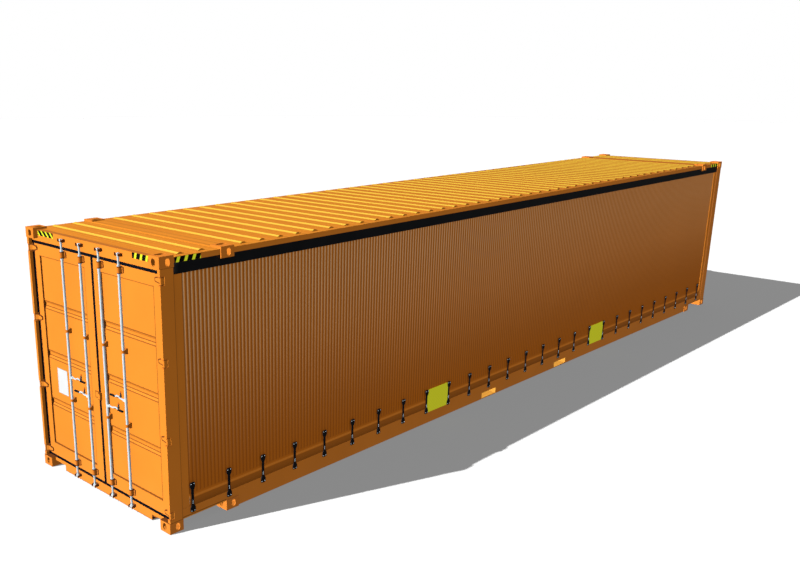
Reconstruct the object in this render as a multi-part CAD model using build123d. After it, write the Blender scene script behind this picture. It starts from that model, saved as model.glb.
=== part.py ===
from build123d import *
import os

# A 45-foot high-cube, pallet-wide shipping container with curtain sides and steel end doors.
# Millimetres. X runs along the length with the doors at -X, Y runs across, Z is up, and the
# origin is the middle of the ground plane. Left and right are as seen by someone facing the doors.

# Overall size
LENGTH = 13716
WIDTH = 2500
HEIGHT = 2896

# Corner castings, and the extra ones at the 40-foot lifting positions
CASTING_LENGTH = 178
CASTING_WIDTH = 170
CASTING_HEIGHT = 118
CASTING_WALL = 12
CASTING_PLATE = 28
FORTY_SETBACK = 762
APERTURE_LENGTH = 124
APERTURE_WIDTH = 63.5
APERTURE_SETBACK = 103.5
APERTURE_INSET = 120.5
HOLE_HEIGHT = 79
HOLE_RISE = 62
SIDE_HOLE_WIDTH = 51
SIDE_HOLE_SETBACK = 101.5
END_HOLE_WIDTH = 63.5
END_HOLE_INSET = 92

# Steelwork of the ends
SIDE_RECESS = 12
POST_RECESS = 3
POST_DEPTH = 170
POST_WALL = 6
FLANGE_WIDTH = 42
FLANGE_SETBACK = 8
RETURN_WIDTH = 110
RETURN_SETBACK = 122
FRAME_SETBACK = 55
HEADER_DEPTH = 63
BEAM_WALL = 6
GROUND_GAP = 6
SILL_NOTCH_WIDTH = 220
SILL_NOTCH_TOP = 75
FRONT_RECESS = 10
FRONT_BEAM_DEPTH = 100
FRONT_POST_WIDTH = 120
FRONT_WALL_SHEET = 3
FRONT_WALL_WAVE = 24
FRONT_WALL_PITCH = 240
FRONT_WALL_SETBACK = 30

# Rails, floor and underframe
RAIL_HEIGHT = 212
RAIL_END_LAP = 6
RAIL_FLANGE = 60
RAIL_WALL = 6
TOP_RAIL_DROP = 27
TOP_RAIL_HEIGHT = 54
TOP_RAIL_WIDTH = 78
TOP_RAIL_WALL = 5
TRACK_DROP = 33
TRACK_SETBACK = 18
TRACK_WALL = 4
TRACK_SLOT = 14
FLOOR_DROP = 28
FLOOR_THICKNESS = 28
CROSS_MEMBER_RISE = 24
CROSS_MEMBER_FLANGE = 45
CROSS_MEMBER_WALL = 4.5
CROSS_MEMBER_PITCH = 340
CROSS_MEMBER_MARGIN = 100
END_MEMBER_START = 154
END_MEMBER_PITCH = 270
END_MEMBERS = 2
POCKET_SPACING = 2050
POCKET_WIDTH = 360
POCKET_HEIGHT = 79
POCKET_RISE = 13
POCKET_WALL = 5
FORTY_POST_DEPTH = 60
FORTY_POST_LENGTH = 120
FORTY_POST_SETBACK = 100
FORTY_POST_WALL = 6

# Roof sheets with raised cross ribs, and the covers between them at the 40-foot blocks
ROOF_SHEET = 3
ROOF_RIB_RISE = 18
ROOF_RIB_BASE = 100
ROOF_RIB_CREST = 28
ROOF_RIB_SLOPE = 4
ROOF_RIB_SETBACK = 90
ROOF_RIB_PITCH = 266
ROOF_RIB_MARGIN = 100
ROOF_END_RIB_START = 174
ROOF_END_RIBS = 2
ROOF_BAND_RISE = 13
ROOF_BAND_WALL = 4

# Curtains, their poles, the covering flap and the buckle straps
CURTAIN_SETBACK = 278
CURTAIN_THICKNESS = 10
CURTAIN_INSET = 6
SEAT = 0.3
HEM_HEIGHT = 122
HEM_RISE = 4
PELMET_LAP = 42
PELMET_THICKNESS = 5
POLE_LENGTH = 106
POLE_DEPTH = 23
POLE_ROUND = 10
STRAP_PITCH = 500
STRAP_SHIFT = -46
STRAP_WIDTH = 35
STRAP_RISE = 269
STRAP_DROP = 68
STRAP_THICKNESS = 3
BUCKLE_HEIGHT = 82
BUCKLE_SHOULDER = 50
BUCKLE_CORNER = 10
BUCKLE_THICKNESS = 8
BUCKLE_WIDTH = 66

# Door leaves
LEAF_GAP = 34
LEAF_CENTRE = 21
LEAF_THICKNESS = 50
LEAF_WALL = 4
OUTER_STILE = 106
INNER_STILE = 136
BOTTOM_BAND = 160
TOP_BAND = 134
PANEL_RECESS = 14
PANEL_SHEET = 3
GROOVE_SHARES = (0.253, 0.512, 0.772)
GROOVE_HEIGHT = 92
GROOVE_SLOPE = 28
GROOVE_DEPTH = 16
SEAL_GAP = 5
SEAL_CENTRE_GAP = 4
SEAL_SETBACK = 3
SEAL_DEPTH = 30

# Hinges
HINGES = 4
HINGE_RISE = 50
HINGE_DROP = 52
PIN_INSET = 14
PIN_SETBACK = 24
PIN_RADIUS = 7
PIN_CLEARANCE = 0.08
BARREL_RADIUS = 13
BARREL_HEIGHT = 78
BARREL_GAP = 1
LUG_THICKNESS = 12
NOTCH_DEPTH = 54
BLADE_LENGTH = 100
BLADE_THICKNESS = 11
BLADE_TIP_HEIGHT = 44
BLADE_ROUND = 20

# Locking bars, their cams, keepers and guides
BAR_OFFSETS = (180, 540)
BAR_SETBACK = 25
BAR_RADIUS = 15
NECK_RADIUS = 11.5
BAR_LAP = 43
BAR_TOP_LAP = 65
COLLAR_RADIUS = 18.5
COLLAR_HEIGHT = 10
COLLAR_GAP = 2
CAM_RADIUS = 21
CAM_WIDTH = 17
CAM_HORN = 16
CAM_CORE = 14.5
CAM_HEIGHT = 30
CAM_DOME = 8
CAM_FOOT = 22
KEEPER_GAP = 6
KEEPER_CHEEK = 8
KEEPER_PLATE = 4
KEEPER_REACH = 44
KEEPER_HEIGHT = 34
KEEPER_ROOT = 22
GUIDE_RISE = 72
GUIDE_DROP = 47
BOX_GUIDE_HEIGHT = 74
RING_GUIDE_SHARES = (0.329, 0.648)
RING_GUIDE_HEIGHT = 30
RING_GUIDE_FOOT = 60
GUIDE_WALL = 6
GUIDE_CLEARANCE = 0.3
EAR_WIDTH = 88
EAR_THICKNESS = 8
EAR_ROUND = 16

# Handles on the bars
UPPER_HANDLE = 1272
LOWER_HANDLE = 1130
HANDLE_LENGTH = 290
HUB_REACH = 30
HUB_HEIGHT = 26
HUB_THICKNESS = 20
FORK_GAP = 10.4
HANDLE_PIN_RADIUS = 5
HANDLE_PIN_CLEARANCE = 0.08
EYE_RADIUS = 11
ARM_HEIGHT = 15
ARM_THICKNESS = 8
ARM_CRANK = 14
CRANK_REACH = 44
CRANK_RUN = 22
GRIP_LENGTH = 90
GRIP_RADIUS = 12
RETAINER_REACH = 153
RETAINER_WIDTH = 26
RETAINER_SHELF = 6
RETAINER_GAP = 0.5
TONGUE_THICKNESS = 10
TONGUE_WIDTH = 16
TONGUE_RISE = 58

# Lock plate and lock box at the meeting edges
LOCK_RISE = 1183
LOCK_SIZE = 78
LOCK_PLATE_WIDTH = 66
LOCK_PLATE_THICKNESS = 5
LOCK_BOX_DEPTH = 30
LOCK_BOX_WIDTH = 34
LOCK_BOX_WALL = 5

# Planes along the length
DOOR_END = -LENGTH / 2
FRONT_END = LENGTH / 2
FORTY_END = LENGTH / 2 - FORTY_SETBACK
FORTY_INNER = FORTY_END - CASTING_LENGTH
FRAME_FACE = DOOR_END + FRAME_SETBACK
PANEL_FACE = FRAME_FACE + PANEL_RECESS
HEADER_BACK = FRAME_FACE + HEADER_DEPTH
POST_BACK = DOOR_END + POST_DEPTH
FRONT_POST_BACK = FRONT_END - POST_DEPTH
FRONT_FACE = FRONT_END - FRONT_RECESS
FRONT_BEAM_BACK = FRONT_FACE - FRONT_BEAM_DEPTH
CURTAIN_REACH = LENGTH / 2 - CURTAIN_SETBACK
BAR_X = DOOR_END + BAR_SETBACK
PIN_X = DOOR_END + PIN_SETBACK

# Planes across the width
SIDE = WIDTH / 2
SKIN = SIDE - SIDE_RECESS
CASTING_INNER = SIDE - CASTING_WIDTH
FLANGE_INNER = SIDE - FLANGE_WIDTH
PIN_Y = SIDE - PIN_INSET
LEAF_SIDE = FLANGE_INNER - LEAF_GAP
PANEL_OUTER = LEAF_SIDE - OUTER_STILE
PANEL_INNER = LEAF_CENTRE + INNER_STILE
CURTAIN_FACE = SKIN - CURTAIN_INSET

# Levels
SILL_TOP = CASTING_HEIGHT
TOP_CASTING_BOTTOM = HEIGHT - CASTING_HEIGHT
RAIL_TOP = GROUND_GAP + RAIL_HEIGHT
RAIL_END_BOTTOM = CASTING_HEIGHT - RAIL_END_LAP
FLOOR_TOP = RAIL_TOP - FLOOR_DROP
FLOOR_BOTTOM = FLOOR_TOP - FLOOR_THICKNESS
TOP_RAIL_TOP = HEIGHT - TOP_RAIL_DROP
TOP_RAIL_BOTTOM = TOP_RAIL_TOP - TOP_RAIL_HEIGHT
TRACK_BOTTOM = TOP_CASTING_BOTTOM - TRACK_DROP
ROOF_TOP = TOP_RAIL_TOP + ROOF_SHEET
HEADER_BOTTOM = TRACK_BOTTOM
HEM_TOP = RAIL_TOP + HEM_HEIGHT
LEAF_BOTTOM = SILL_TOP + LEAF_GAP
LEAF_TOP = HEADER_BOTTOM - LEAF_GAP
LEAF_HEIGHT = LEAF_TOP - LEAF_BOTTOM
PANEL_BOTTOM = LEAF_BOTTOM + BOTTOM_BAND
PANEL_TOP = LEAF_TOP - TOP_BAND
BAR_BOTTOM = SILL_TOP - BAR_LAP
BAR_TOP = HEADER_BOTTOM + BAR_TOP_LAP
HINGE_PITCH = (LEAF_HEIGHT - HINGE_RISE - HINGE_DROP) / (HINGES - 1)
HINGE_HEIGHTS = [LEAF_BOTTOM + HINGE_RISE + k * HINGE_PITCH for k in range(HINGES)]
BOX_GUIDE_HEIGHTS = (LEAF_BOTTOM + GUIDE_RISE, LEAF_TOP - GUIDE_DROP)
RING_GUIDE_HEIGHTS = [LEAF_BOTTOM + share * LEAF_HEIGHT for share in RING_GUIDE_SHARES]
GROOVE_TOPS = [PANEL_BOTTOM + share * (PANEL_TOP - PANEL_BOTTOM) for share in GROOVE_SHARES]

# Bar place, handle height and the way the handle points, for each bar from left to right
HANDLES = {
    "left_outer": (BAR_OFFSETS[1], UPPER_HANDLE, -1),
    "left_inner": (BAR_OFFSETS[0], LOWER_HANDLE, 1),
    "right_inner": (-BAR_OFFSETS[0], LOWER_HANDLE, -1),
    "right_outer": (-BAR_OFFSETS[1], UPPER_HANDLE, 1),
}


def block(x, y, z):
    """A box from its two ends along each axis."""
    size = [abs(pair[1] - pair[0]) for pair in (x, y, z)]
    middle = [(pair[1] + pair[0]) / 2 for pair in (x, y, z)]
    return Pos(*middle) * Box(*size)


def section(plane, points, wall):
    """A closed shape on a plane, or with a wall thickness the tube section that it bounds."""
    face = make_face(plane * Polyline(*points, close=True))
    return face - offset(face, -wall, kind=Kind.INTERSECTION) if wall else face


def along_x(points, low, high, wall=0):
    """A section of (y, z) points carried lengthways from low to high X."""
    return Pos(low, 0, 0) * extrude(section(Plane.YZ, points, wall), high - low, dir=(1, 0, 0))


def along_y(points, low, high, wall=0):
    """A section of (x, z) points carried across from low to high Y."""
    return Pos(0, low, 0) * extrude(section(Plane.XZ, points, wall), high - low, dir=(0, 1, 0))


def upright(points, low, high, wall=0):
    """A section of (x, y) points raised from low to high Z."""
    return Pos(0, 0, low) * extrude(section(Plane.XY, points, wall), high - low, dir=(0, 0, 1))


def corners(x, y):
    """The four corners of a rectangle from its two ends along each of its axes."""
    return [(x[0], y[0]), (x[1], y[0]), (x[1], y[1]), (x[0], y[1])]


def other_side(shape):
    """The same piece on the opposite side of the container."""
    return mirror(shape, about=Plane.XZ)


def other_end(shape):
    """The same piece at the opposite end of the container."""
    return mirror(shape, about=Plane.YZ)


def on_both_sides(shapes):
    return shapes + [other_side(shape) for shape in shapes]


def at_both_ends(shapes):
    return shapes + [other_end(shape) for shape in shapes]


def casting(end, top, end_hole):
    """A hollow corner block on the left side whose outer end is at X = -end."""
    low = TOP_CASTING_BOTTOM if top else 0
    high = low + CASTING_HEIGHT
    foot, head = (CASTING_WALL, CASTING_PLATE) if top else (CASTING_PLATE, CASTING_WALL)
    body = block((-end, -end + CASTING_LENGTH), (CASTING_INNER, SIDE), (low, high))
    body = fillet(body.edges().filter_by(Axis.Z), CASTING_WALL / 2)
    hollow = block(
        (-end + CASTING_WALL, -end + CASTING_LENGTH - CASTING_WALL),
        (CASTING_INNER + CASTING_WALL, SIDE - CASTING_WALL),
        (low + foot, high - head),
    )
    aperture = extrude(SlotOverall(APERTURE_LENGTH, APERTURE_WIDTH), CASTING_PLATE, dir=(0, 0, 1))
    aperture_low = high - CASTING_PLATE if top else low
    aperture = Pos(-end + APERTURE_SETBACK, SIDE - APERTURE_INSET, aperture_low) * aperture
    hole_level = high - HOLE_RISE if top else low + HOLE_RISE
    side_slot = Plane.XZ * Rot(0, 0, 90) * SlotOverall(HOLE_HEIGHT, SIDE_HOLE_WIDTH)
    side_slot = extrude(side_slot, CASTING_WALL, dir=(0, -1, 0))
    body -= [hollow, aperture, Pos(-end + SIDE_HOLE_SETBACK, SIDE, hole_level) * side_slot]
    if end_hole:
        end_slot = Plane.YZ * Rot(0, 0, 90) * SlotOverall(HOLE_HEIGHT, END_HOLE_WIDTH)
        end_slot = extrude(end_slot, CASTING_WALL, dir=(1, 0, 0))
        body -= Pos(-end, SIDE - END_HOLE_INSET, hole_level) * end_slot
    return body


def end_castings():
    """The four corner blocks of the door end."""
    return on_both_sides([casting(LENGTH / 2, top, True) for top in (False, True)])


def forty_castings():
    """The eight blocks at the 40-foot positions, of which only the bottom ones have an end hole."""
    return at_both_ends(on_both_sides([casting(FORTY_END, top, not top) for top in (False, True)]))


def clear_corners(shape, end):
    """Cut the space of an end's corner blocks out of a piece."""
    x = (end, end - CASTING_LENGTH if end > 0 else end + CASTING_LENGTH)
    for side in (-1, 1):
        for low in (0, TOP_CASTING_BOTTOM):
            shape -= block(x, (side * CASTING_INNER, side * SIDE), (low, low + CASTING_HEIGHT))
    return shape


def door_post():
    """The left door post: a bent hollow section with its flange notched at each hinge."""
    front = DOOR_END + FLANGE_SETBACK
    outer = SIDE - POST_RECESS
    leg = SIDE - RETURN_WIDTH
    step = DOOR_END + RETURN_SETBACK
    points = [
        (front, outer),
        (POST_BACK, outer),
        (POST_BACK, leg),
        (step, leg),
        (step, FLANGE_INNER),
        (front, FLANGE_INNER),
    ]
    post = upright(points, CASTING_HEIGHT, TOP_CASTING_BOTTOM, POST_WALL)
    half = BARREL_HEIGHT / 2 + BARREL_GAP + LUG_THICKNESS
    for height in HINGE_HEIGHTS:
        post -= block((front, front + NOTCH_DEPTH), (FLANGE_INNER, outer), (height - half, height + half))
    return post


def hinge_lugs():
    """At each notch of the left post, two lugs and the pin that they hold."""
    front = DOOR_END + FLANGE_SETBACK
    outer = SIDE - POST_RECESS
    near = BARREL_HEIGHT / 2 + BARREL_GAP
    far = near + LUG_THICKNESS
    pieces = []
    for height in HINGE_HEIGHTS:
        hinge = Pos(PIN_X, PIN_Y, height) * Cylinder(PIN_RADIUS, 2 * far)
        for z in ((height + near, height + far), (height - far, height - near)):
            hinge += block((front, front + NOTCH_DEPTH), (FLANGE_INNER, outer), z)
        pieces.append(hinge)
    return pieces


def door_header():
    """The box beam over the doors."""
    points = corners((FRAME_FACE, HEADER_BACK), (HEADER_BOTTOM, ROOF_TOP))
    return clear_corners(along_y(points, -FLANGE_INNER, FLANGE_INNER, BEAM_WALL), DOOR_END)


def door_sill():
    """The stepped sill under the doors, cut away beside each corner block."""
    reach = SIDE - RETURN_WIDTH
    step = DOOR_END + RETURN_SETBACK
    points = [
        (FRAME_FACE, GROUND_GAP),
        (POST_BACK, GROUND_GAP),
        (POST_BACK, FLOOR_BOTTOM),
        (step, FLOOR_BOTTOM),
        (step, SILL_TOP),
        (FRAME_FACE, SILL_TOP),
    ]
    sill = clear_corners(along_y(points, -reach, reach, BEAM_WALL), DOOR_END)
    for side in (-1, 1):
        y = (side * CASTING_INNER, side * (CASTING_INNER - SILL_NOTCH_WIDTH))
        sill -= block((FRAME_FACE, POST_BACK), y, (GROUND_GAP, SILL_NOTCH_TOP))
    return sill


def front_post():
    """The left post of the closed end, a plain hollow section."""
    points = corners((FRONT_POST_BACK, FRONT_FACE), (SIDE - FRONT_POST_WIDTH, SIDE - POST_RECESS))
    return upright(points, CASTING_HEIGHT, TOP_CASTING_BOTTOM, POST_WALL)


def front_beam(low, high):
    """A hollow cross beam of the closed end, between the corner blocks."""
    reach = SIDE - FRONT_POST_WIDTH
    points = corners((FRONT_BEAM_BACK, FRONT_FACE), (low, high))
    return clear_corners(along_y(points, -reach, reach, BEAM_WALL), FRONT_END)


def front_wall():
    """The closed end: one sheet pressed into upright waves between the front posts."""
    reach = SIDE - FRONT_POST_WIDTH
    crest = FRONT_FACE - FRONT_WALL_SETBACK
    valley = crest - FRONT_WALL_WAVE
    waves = int(2 * reach // FRONT_WALL_PITCH)
    quarter = FRONT_WALL_PITCH / 4
    slope = quarter / 3
    outer = [(crest, -reach)]
    for k in range(waves):
        y = (k - waves / 2) * FRONT_WALL_PITCH
        outer += [
            (crest, y + quarter - slope),
            (valley, y + quarter + slope),
            (valley, y + 3 * quarter - slope),
            (crest, y + 3 * quarter + slope),
        ]
    outer.append((crest, reach))
    inner = [(x - FRONT_WALL_SHEET, y) for x, y in reversed(outer)]
    return upright(outer + inner, FLOOR_TOP, HEADER_BOTTOM)


def pocket_box(middle, grow, reach):
    """The space of a fork pocket, grown by its wall or not."""
    half = POCKET_WIDTH / 2 + grow
    low = GROUND_GAP + POCKET_RISE
    return block((middle - half, middle + half), (-reach, reach), (low - grow, low + POCKET_HEIGHT + grow))


def fork_pocket():
    """One of the two square tubes right across the underframe."""
    middle = -POCKET_SPACING / 2
    return pocket_box(middle, POCKET_WALL, SKIN) - pocket_box(middle, 0, SKIN)


def bottom_rail():
    """The left bottom rail: a channel, raised outside the 40-foot blocks."""
    inner = SKIN - RAIL_FLANGE
    rail = block((POST_BACK, FRONT_POST_BACK), (inner, SKIN), (GROUND_GAP, RAIL_TOP))
    rail -= block(
        (POST_BACK, FRONT_POST_BACK),
        (inner, SKIN - RAIL_WALL),
        (GROUND_GAP + RAIL_WALL, RAIL_TOP - RAIL_WALL),
    )
    for end in (-1, 1):
        tail = (end * FORTY_INNER, end * LENGTH / 2)
        rail -= block(tail, (inner, SKIN), (GROUND_GAP, RAIL_END_BOTTOM))
        for outer_end in (FORTY_END, LENGTH / 2):
            x = (end * (outer_end - CASTING_LENGTH), end * outer_end)
            rail -= block(x, (CASTING_INNER, SIDE), (0, CASTING_HEIGHT))
        bay = (end * FORTY_END, end * (LENGTH / 2 - CASTING_LENGTH))
        rail += block(bay, (inner, SKIN - RAIL_WALL), (RAIL_END_BOTTOM, RAIL_END_BOTTOM + RAIL_WALL))
        rail -= pocket_box(end * POCKET_SPACING / 2, POCKET_WALL, SIDE)
    return rail


def cross_member(x, low):
    """A pressed channel between the bottom rails, open towards +X."""
    wall, tip, high = CROSS_MEMBER_WALL, x + CROSS_MEMBER_FLANGE, FLOOR_BOTTOM
    points = [
        (x, low),
        (tip, low),
        (tip, low + wall),
        (x + wall, low + wall),
        (x + wall, high - wall),
        (tip, high - wall),
        (tip, high),
        (x, high),
    ]
    reach = SKIN - RAIL_WALL
    return along_y(points, -reach, reach)


def cross_members():
    """Cross members at an even pitch, clear of the fork pockets, and shallower ones in the end bays."""
    members = []
    beside = POCKET_WIDTH / 2 + POCKET_WALL + CROSS_MEMBER_FLANGE
    each_way = int((FORTY_INNER - CROSS_MEMBER_MARGIN) // CROSS_MEMBER_PITCH)
    for k in range(-each_way, each_way + 1):
        x = k * CROSS_MEMBER_PITCH
        if abs(abs(x) - POCKET_SPACING / 2) > beside:
            members.append(cross_member(x, GROUND_GAP + CROSS_MEMBER_RISE))
    ends = []
    for k in range(END_MEMBERS):
        x = -FORTY_END - END_MEMBER_START - k * END_MEMBER_PITCH
        ends.append(cross_member(x, RAIL_END_BOTTOM + RAIL_WALL))
    return members + at_both_ends(ends)


def forty_post_foot():
    """The rectangle that a 40-foot post stands on, near the doors on the left."""
    middle = -(FORTY_END + FORTY_INNER) / 2
    half = FORTY_POST_LENGTH / 2
    outer = SIDE - FORTY_POST_SETBACK
    return corners((middle - half, middle + half), (outer - FORTY_POST_DEPTH, outer))


def forty_post():
    """One post between the 40-foot blocks, inside the left curtain."""
    return upright(forty_post_foot(), CASTING_HEIGHT, TOP_CASTING_BOTTOM, FORTY_POST_WALL)


def floor():
    """The plank deck, cut round the posts."""
    reach = SKIN - RAIL_WALL
    z = (FLOOR_BOTTOM, FLOOR_TOP)
    deck = block((DOOR_END + RETURN_SETBACK, FRONT_BEAM_BACK), (-reach, reach), z)
    door_corner = block((DOOR_END, POST_BACK), (SIDE - RETURN_WIDTH, SIDE), z)
    front_corner = block((FRONT_POST_BACK, FRONT_END), (SIDE - FRONT_POST_WIDTH, SIDE), z)
    forty = at_both_ends([upright(forty_post_foot(), *z)])
    return deck - on_both_sides([door_corner, front_corner, *forty])


def top_rail():
    """The left top rail in three lengths between the blocks, and the curtain's track under it."""
    inner, outer = SKIN - TOP_RAIL_WIDTH, SKIN - TRACK_SETBACK
    points = [
        (SKIN, TOP_RAIL_BOTTOM),
        (SKIN, TOP_RAIL_TOP),
        (inner, TOP_RAIL_TOP),
        (inner, TOP_CASTING_BOTTOM),
        (outer, TOP_CASTING_BOTTOM),
        (outer, TOP_RAIL_BOTTOM),
    ]
    end_length = along_x(points, DOOR_END + CASTING_LENGTH, -FORTY_END, TOP_RAIL_WALL)
    lengths = at_both_ends([end_length]) + [along_x(points, -FORTY_INNER, FORTY_INNER, TOP_RAIL_WALL)]
    wall, middle, half = TRACK_WALL, (inner + outer) / 2, TRACK_SLOT / 2
    low, high = TRACK_BOTTOM, TOP_CASTING_BOTTOM
    track = [
        (inner, high),
        (outer, high),
        (outer, low),
        (middle + half, low),
        (middle + half, low + wall),
        (outer - wall, low + wall),
        (outer - wall, high - wall),
        (inner + wall, high - wall),
        (inner + wall, low + wall),
        (middle - half, low + wall),
        (middle - half, low),
        (inner, low),
    ]
    return lengths + [along_x(track, POST_BACK, FRONT_POST_BACK)]


def rib(x, shrink):
    """A cross rib of the roof: a long low ridge with four sloping sides, or the hollow under it."""
    half = SIDE - ROOF_RIB_SETBACK - shrink
    base = ROOF_RIB_BASE / 2 - shrink
    crest = ROOF_RIB_CREST / 2 - shrink
    low = ROOF_TOP - shrink
    foot = Pos(x, 0, low) * Rectangle(2 * base, 2 * half)
    top = Pos(x, 0, low + ROOF_RIB_RISE) * Rectangle(2 * crest, 2 * (half - ROOF_RIB_SLOPE))
    return loft([foot.faces()[0], top.faces()[0]])


def ribbed_sheet(low, high, places):
    """A length of roof sheet with a rib pressed up at each place."""
    sheet = block((low, high), (-SKIN, SKIN), (TOP_RAIL_TOP, ROOF_TOP))
    sheet += [rib(x, 0) for x in places]
    return sheet - [rib(x, ROOF_SHEET) for x in places]


def roof_panel():
    """The roof: a long sheet between the 40-foot blocks, and a short one at each end."""
    room = 2 * (FORTY_INNER - ROOF_RIB_MARGIN) - ROOF_RIB_BASE
    ribs = int(room // ROOF_RIB_PITCH) + 1
    middle = [(k - (ribs - 1) / 2) * ROOF_RIB_PITCH for k in range(ribs)]
    end = [-FORTY_END - ROOF_END_RIB_START - k * ROOF_RIB_PITCH for k in range(ROOF_END_RIBS)]
    return [
        ribbed_sheet(-FORTY_INNER, FORTY_INNER, middle),
        clear_corners(ribbed_sheet(HEADER_BACK, -FORTY_END, end), DOOR_END),
        clear_corners(ribbed_sheet(FORTY_END, FRONT_BEAM_BACK, [-x for x in end]), FRONT_END),
    ]


def roof_band():
    """The raised cover across the roof between the 40-foot blocks near the doors."""
    wall, low, high = ROOF_BAND_WALL, TOP_RAIL_TOP, TOP_RAIL_TOP + ROOF_BAND_RISE
    points = [
        (-FORTY_END, low),
        (-FORTY_END + wall, low),
        (-FORTY_END + wall, high - wall),
        (-FORTY_INNER - wall, high - wall),
        (-FORTY_INNER - wall, low),
        (-FORTY_INNER, low),
        (-FORTY_INNER, high),
        (-FORTY_END, high),
    ]
    return along_y(points, -CASTING_INNER, CASTING_INNER)


def curtain():
    """The left curtain, with a thicker hem along its foot."""
    inner, hem = CURTAIN_FACE - CURTAIN_THICKNESS, CURTAIN_FACE + HEM_RISE
    low, high = RAIL_TOP + SEAT, TOP_CASTING_BOTTOM - SEAT
    points = [
        (inner, low),
        (hem, low),
        (hem, HEM_TOP),
        (CURTAIN_FACE, HEM_TOP + HEM_RISE),
        (CURTAIN_FACE, high),
        (inner, high),
    ]
    return along_x(points, -CURTAIN_REACH, CURTAIN_REACH)


def pelmet():
    """The dark flap over the head of the left curtain, cut at the 40-foot blocks."""
    reach = LENGTH / 2 - CASTING_LENGTH
    z = (TRACK_BOTTOM - PELMET_LAP, TOP_RAIL_BOTTOM - SEAT)
    flap = block((-reach, reach), (SKIN - PELMET_THICKNESS, SKIN), z)
    for end in (-1, 1):
        x = (end * FORTY_INNER, end * FORTY_END)
        flap -= block(x, (CASTING_INNER, SIDE), (TOP_CASTING_BOTTOM, HEIGHT))
    return flap


def curtain_pole():
    """The upright pole that the left curtain's end wraps round, by the doors."""
    outer = SKIN - PELMET_THICKNESS - SEAT
    x = (-CURTAIN_REACH - POLE_LENGTH, -CURTAIN_REACH - SEAT)
    pole = block(x, (outer - POLE_DEPTH, outer), (RAIL_TOP, TRACK_BOTTOM - SEAT))
    return fillet(pole.edges().filter_by(Axis.Z), POLE_ROUND)


def strap(x):
    """One buckle strap on the left side: a web with a plate at its head and foot that tapers to it."""
    base = SKIN + SEAT
    low, high = RAIL_TOP - STRAP_DROP, RAIL_TOP + STRAP_RISE
    narrow, wide = STRAP_WIDTH / 2, BUCKLE_WIDTH / 2
    web = block((x - narrow, x + narrow), (base, base + STRAP_THICKNESS), (low, high))
    for end, way in ((low, 1), (high, -1)):
        half_plate = [
            (wide - BUCKLE_CORNER, end),
            (wide, end + way * BUCKLE_CORNER),
            (wide, end + way * BUCKLE_SHOULDER),
            (narrow, end + way * BUCKLE_HEIGHT),
        ]
        points = [(x + u, z) for u, z in half_plate] + [(x - u, z) for u, z in reversed(half_plate)]
        web += along_y(points, base, base + BUCKLE_THICKNESS)
    return web


def straps():
    """Every buckle strap of the left side, at an even pitch, the row set a little towards the doors."""
    each_way = int(CURTAIN_REACH // STRAP_PITCH)
    return [strap(STRAP_SHIFT + k * STRAP_PITCH) for k in range(-each_way, each_way + 1)]


def keeper(y, z):
    """A plate on the frame with a rounded claw on either side of one cam, open at the front."""
    near = CAM_RADIUS + KEEPER_GAP
    far = near + KEEPER_CHEEK
    root, half = KEEPER_ROOT / 2, KEEPER_HEIGHT / 2
    tip = FRAME_FACE - KEEPER_REACH
    below = [(FRAME_FACE, z - root), (BAR_X + half / 2, z - half), (BAR_X, z - half), (tip, z - half / 2)]
    claw = below + [(x, 2 * z - level) for x, level in reversed(below)]
    piece = block((FRAME_FACE - KEEPER_PLATE, FRAME_FACE), (y - far, y + far), (z - half, z + half))
    return piece + [along_y(claw, y - far, y - near), along_y(claw, y + near, y + far)]


def cam_keepers():
    """Two keepers for each bar of the left leaf, on the sill and on the header."""
    levels = (BAR_BOTTOM - CAM_HORN / 2, BAR_TOP + CAM_HORN / 2)
    return [keeper(y, z) for y in BAR_OFFSETS for z in levels]


def panel_profile(setback):
    """The door sheet's face in (x, z), moved back by setback, with its grooves pressed inwards."""
    face = PANEL_FACE + setback
    deep = face + GROOVE_DEPTH
    points = [(face, PANEL_BOTTOM)]
    for top in GROOVE_TOPS:
        low = top - GROOVE_HEIGHT
        points += [(face, low), (deep, low + GROOVE_SLOPE), (deep, top - GROOVE_SLOPE), (face, top)]
    return points + [(face, PANEL_TOP)]


def leaf_band(low, high):
    """A level channel of the left leaf between its stiles, open towards the inside."""
    front, back, wall = FRAME_FACE, FRAME_FACE + LEAF_THICKNESS, LEAF_WALL
    points = [
        (front, low),
        (back, low),
        (back, low + wall),
        (front + wall, low + wall),
        (front + wall, high - wall),
        (back, high - wall),
        (back, high),
        (front, high),
    ]
    return along_y(points, PANEL_INNER, PANEL_OUTER)


def leaf():
    """The left leaf: two hollow stiles, two channels and one pressed sheet with level grooves."""
    x = (FRAME_FACE, FRAME_FACE + LEAF_THICKNESS)
    inner = upright(corners(x, (LEAF_CENTRE, PANEL_INNER)), LEAF_BOTTOM, LEAF_TOP, LEAF_WALL)
    outer = upright(corners(x, (PANEL_OUTER, LEAF_SIDE)), LEAF_BOTTOM, LEAF_TOP, LEAF_WALL)
    bands = [leaf_band(LEAF_BOTTOM, PANEL_BOTTOM), leaf_band(PANEL_TOP, LEAF_TOP)]
    profile = panel_profile(0) + panel_profile(PANEL_SHEET)[::-1]
    return inner + [outer, *bands, along_y(profile, PANEL_INNER, PANEL_OUTER)]


def seal():
    """The rubber gasket round the left leaf."""
    x = (FRAME_FACE + SEAL_SETBACK, FRAME_FACE + SEAL_SETBACK + SEAL_DEPTH)
    y = (SEAL_CENTRE_GAP, FLANGE_INNER - SEAL_GAP)
    z = (SILL_TOP + SEAL_GAP, HEADER_BOTTOM - SEAL_GAP)
    return block(x, y, z) - block(x, (LEAF_CENTRE, LEAF_SIDE), (LEAF_BOTTOM, LEAF_TOP))


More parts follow.
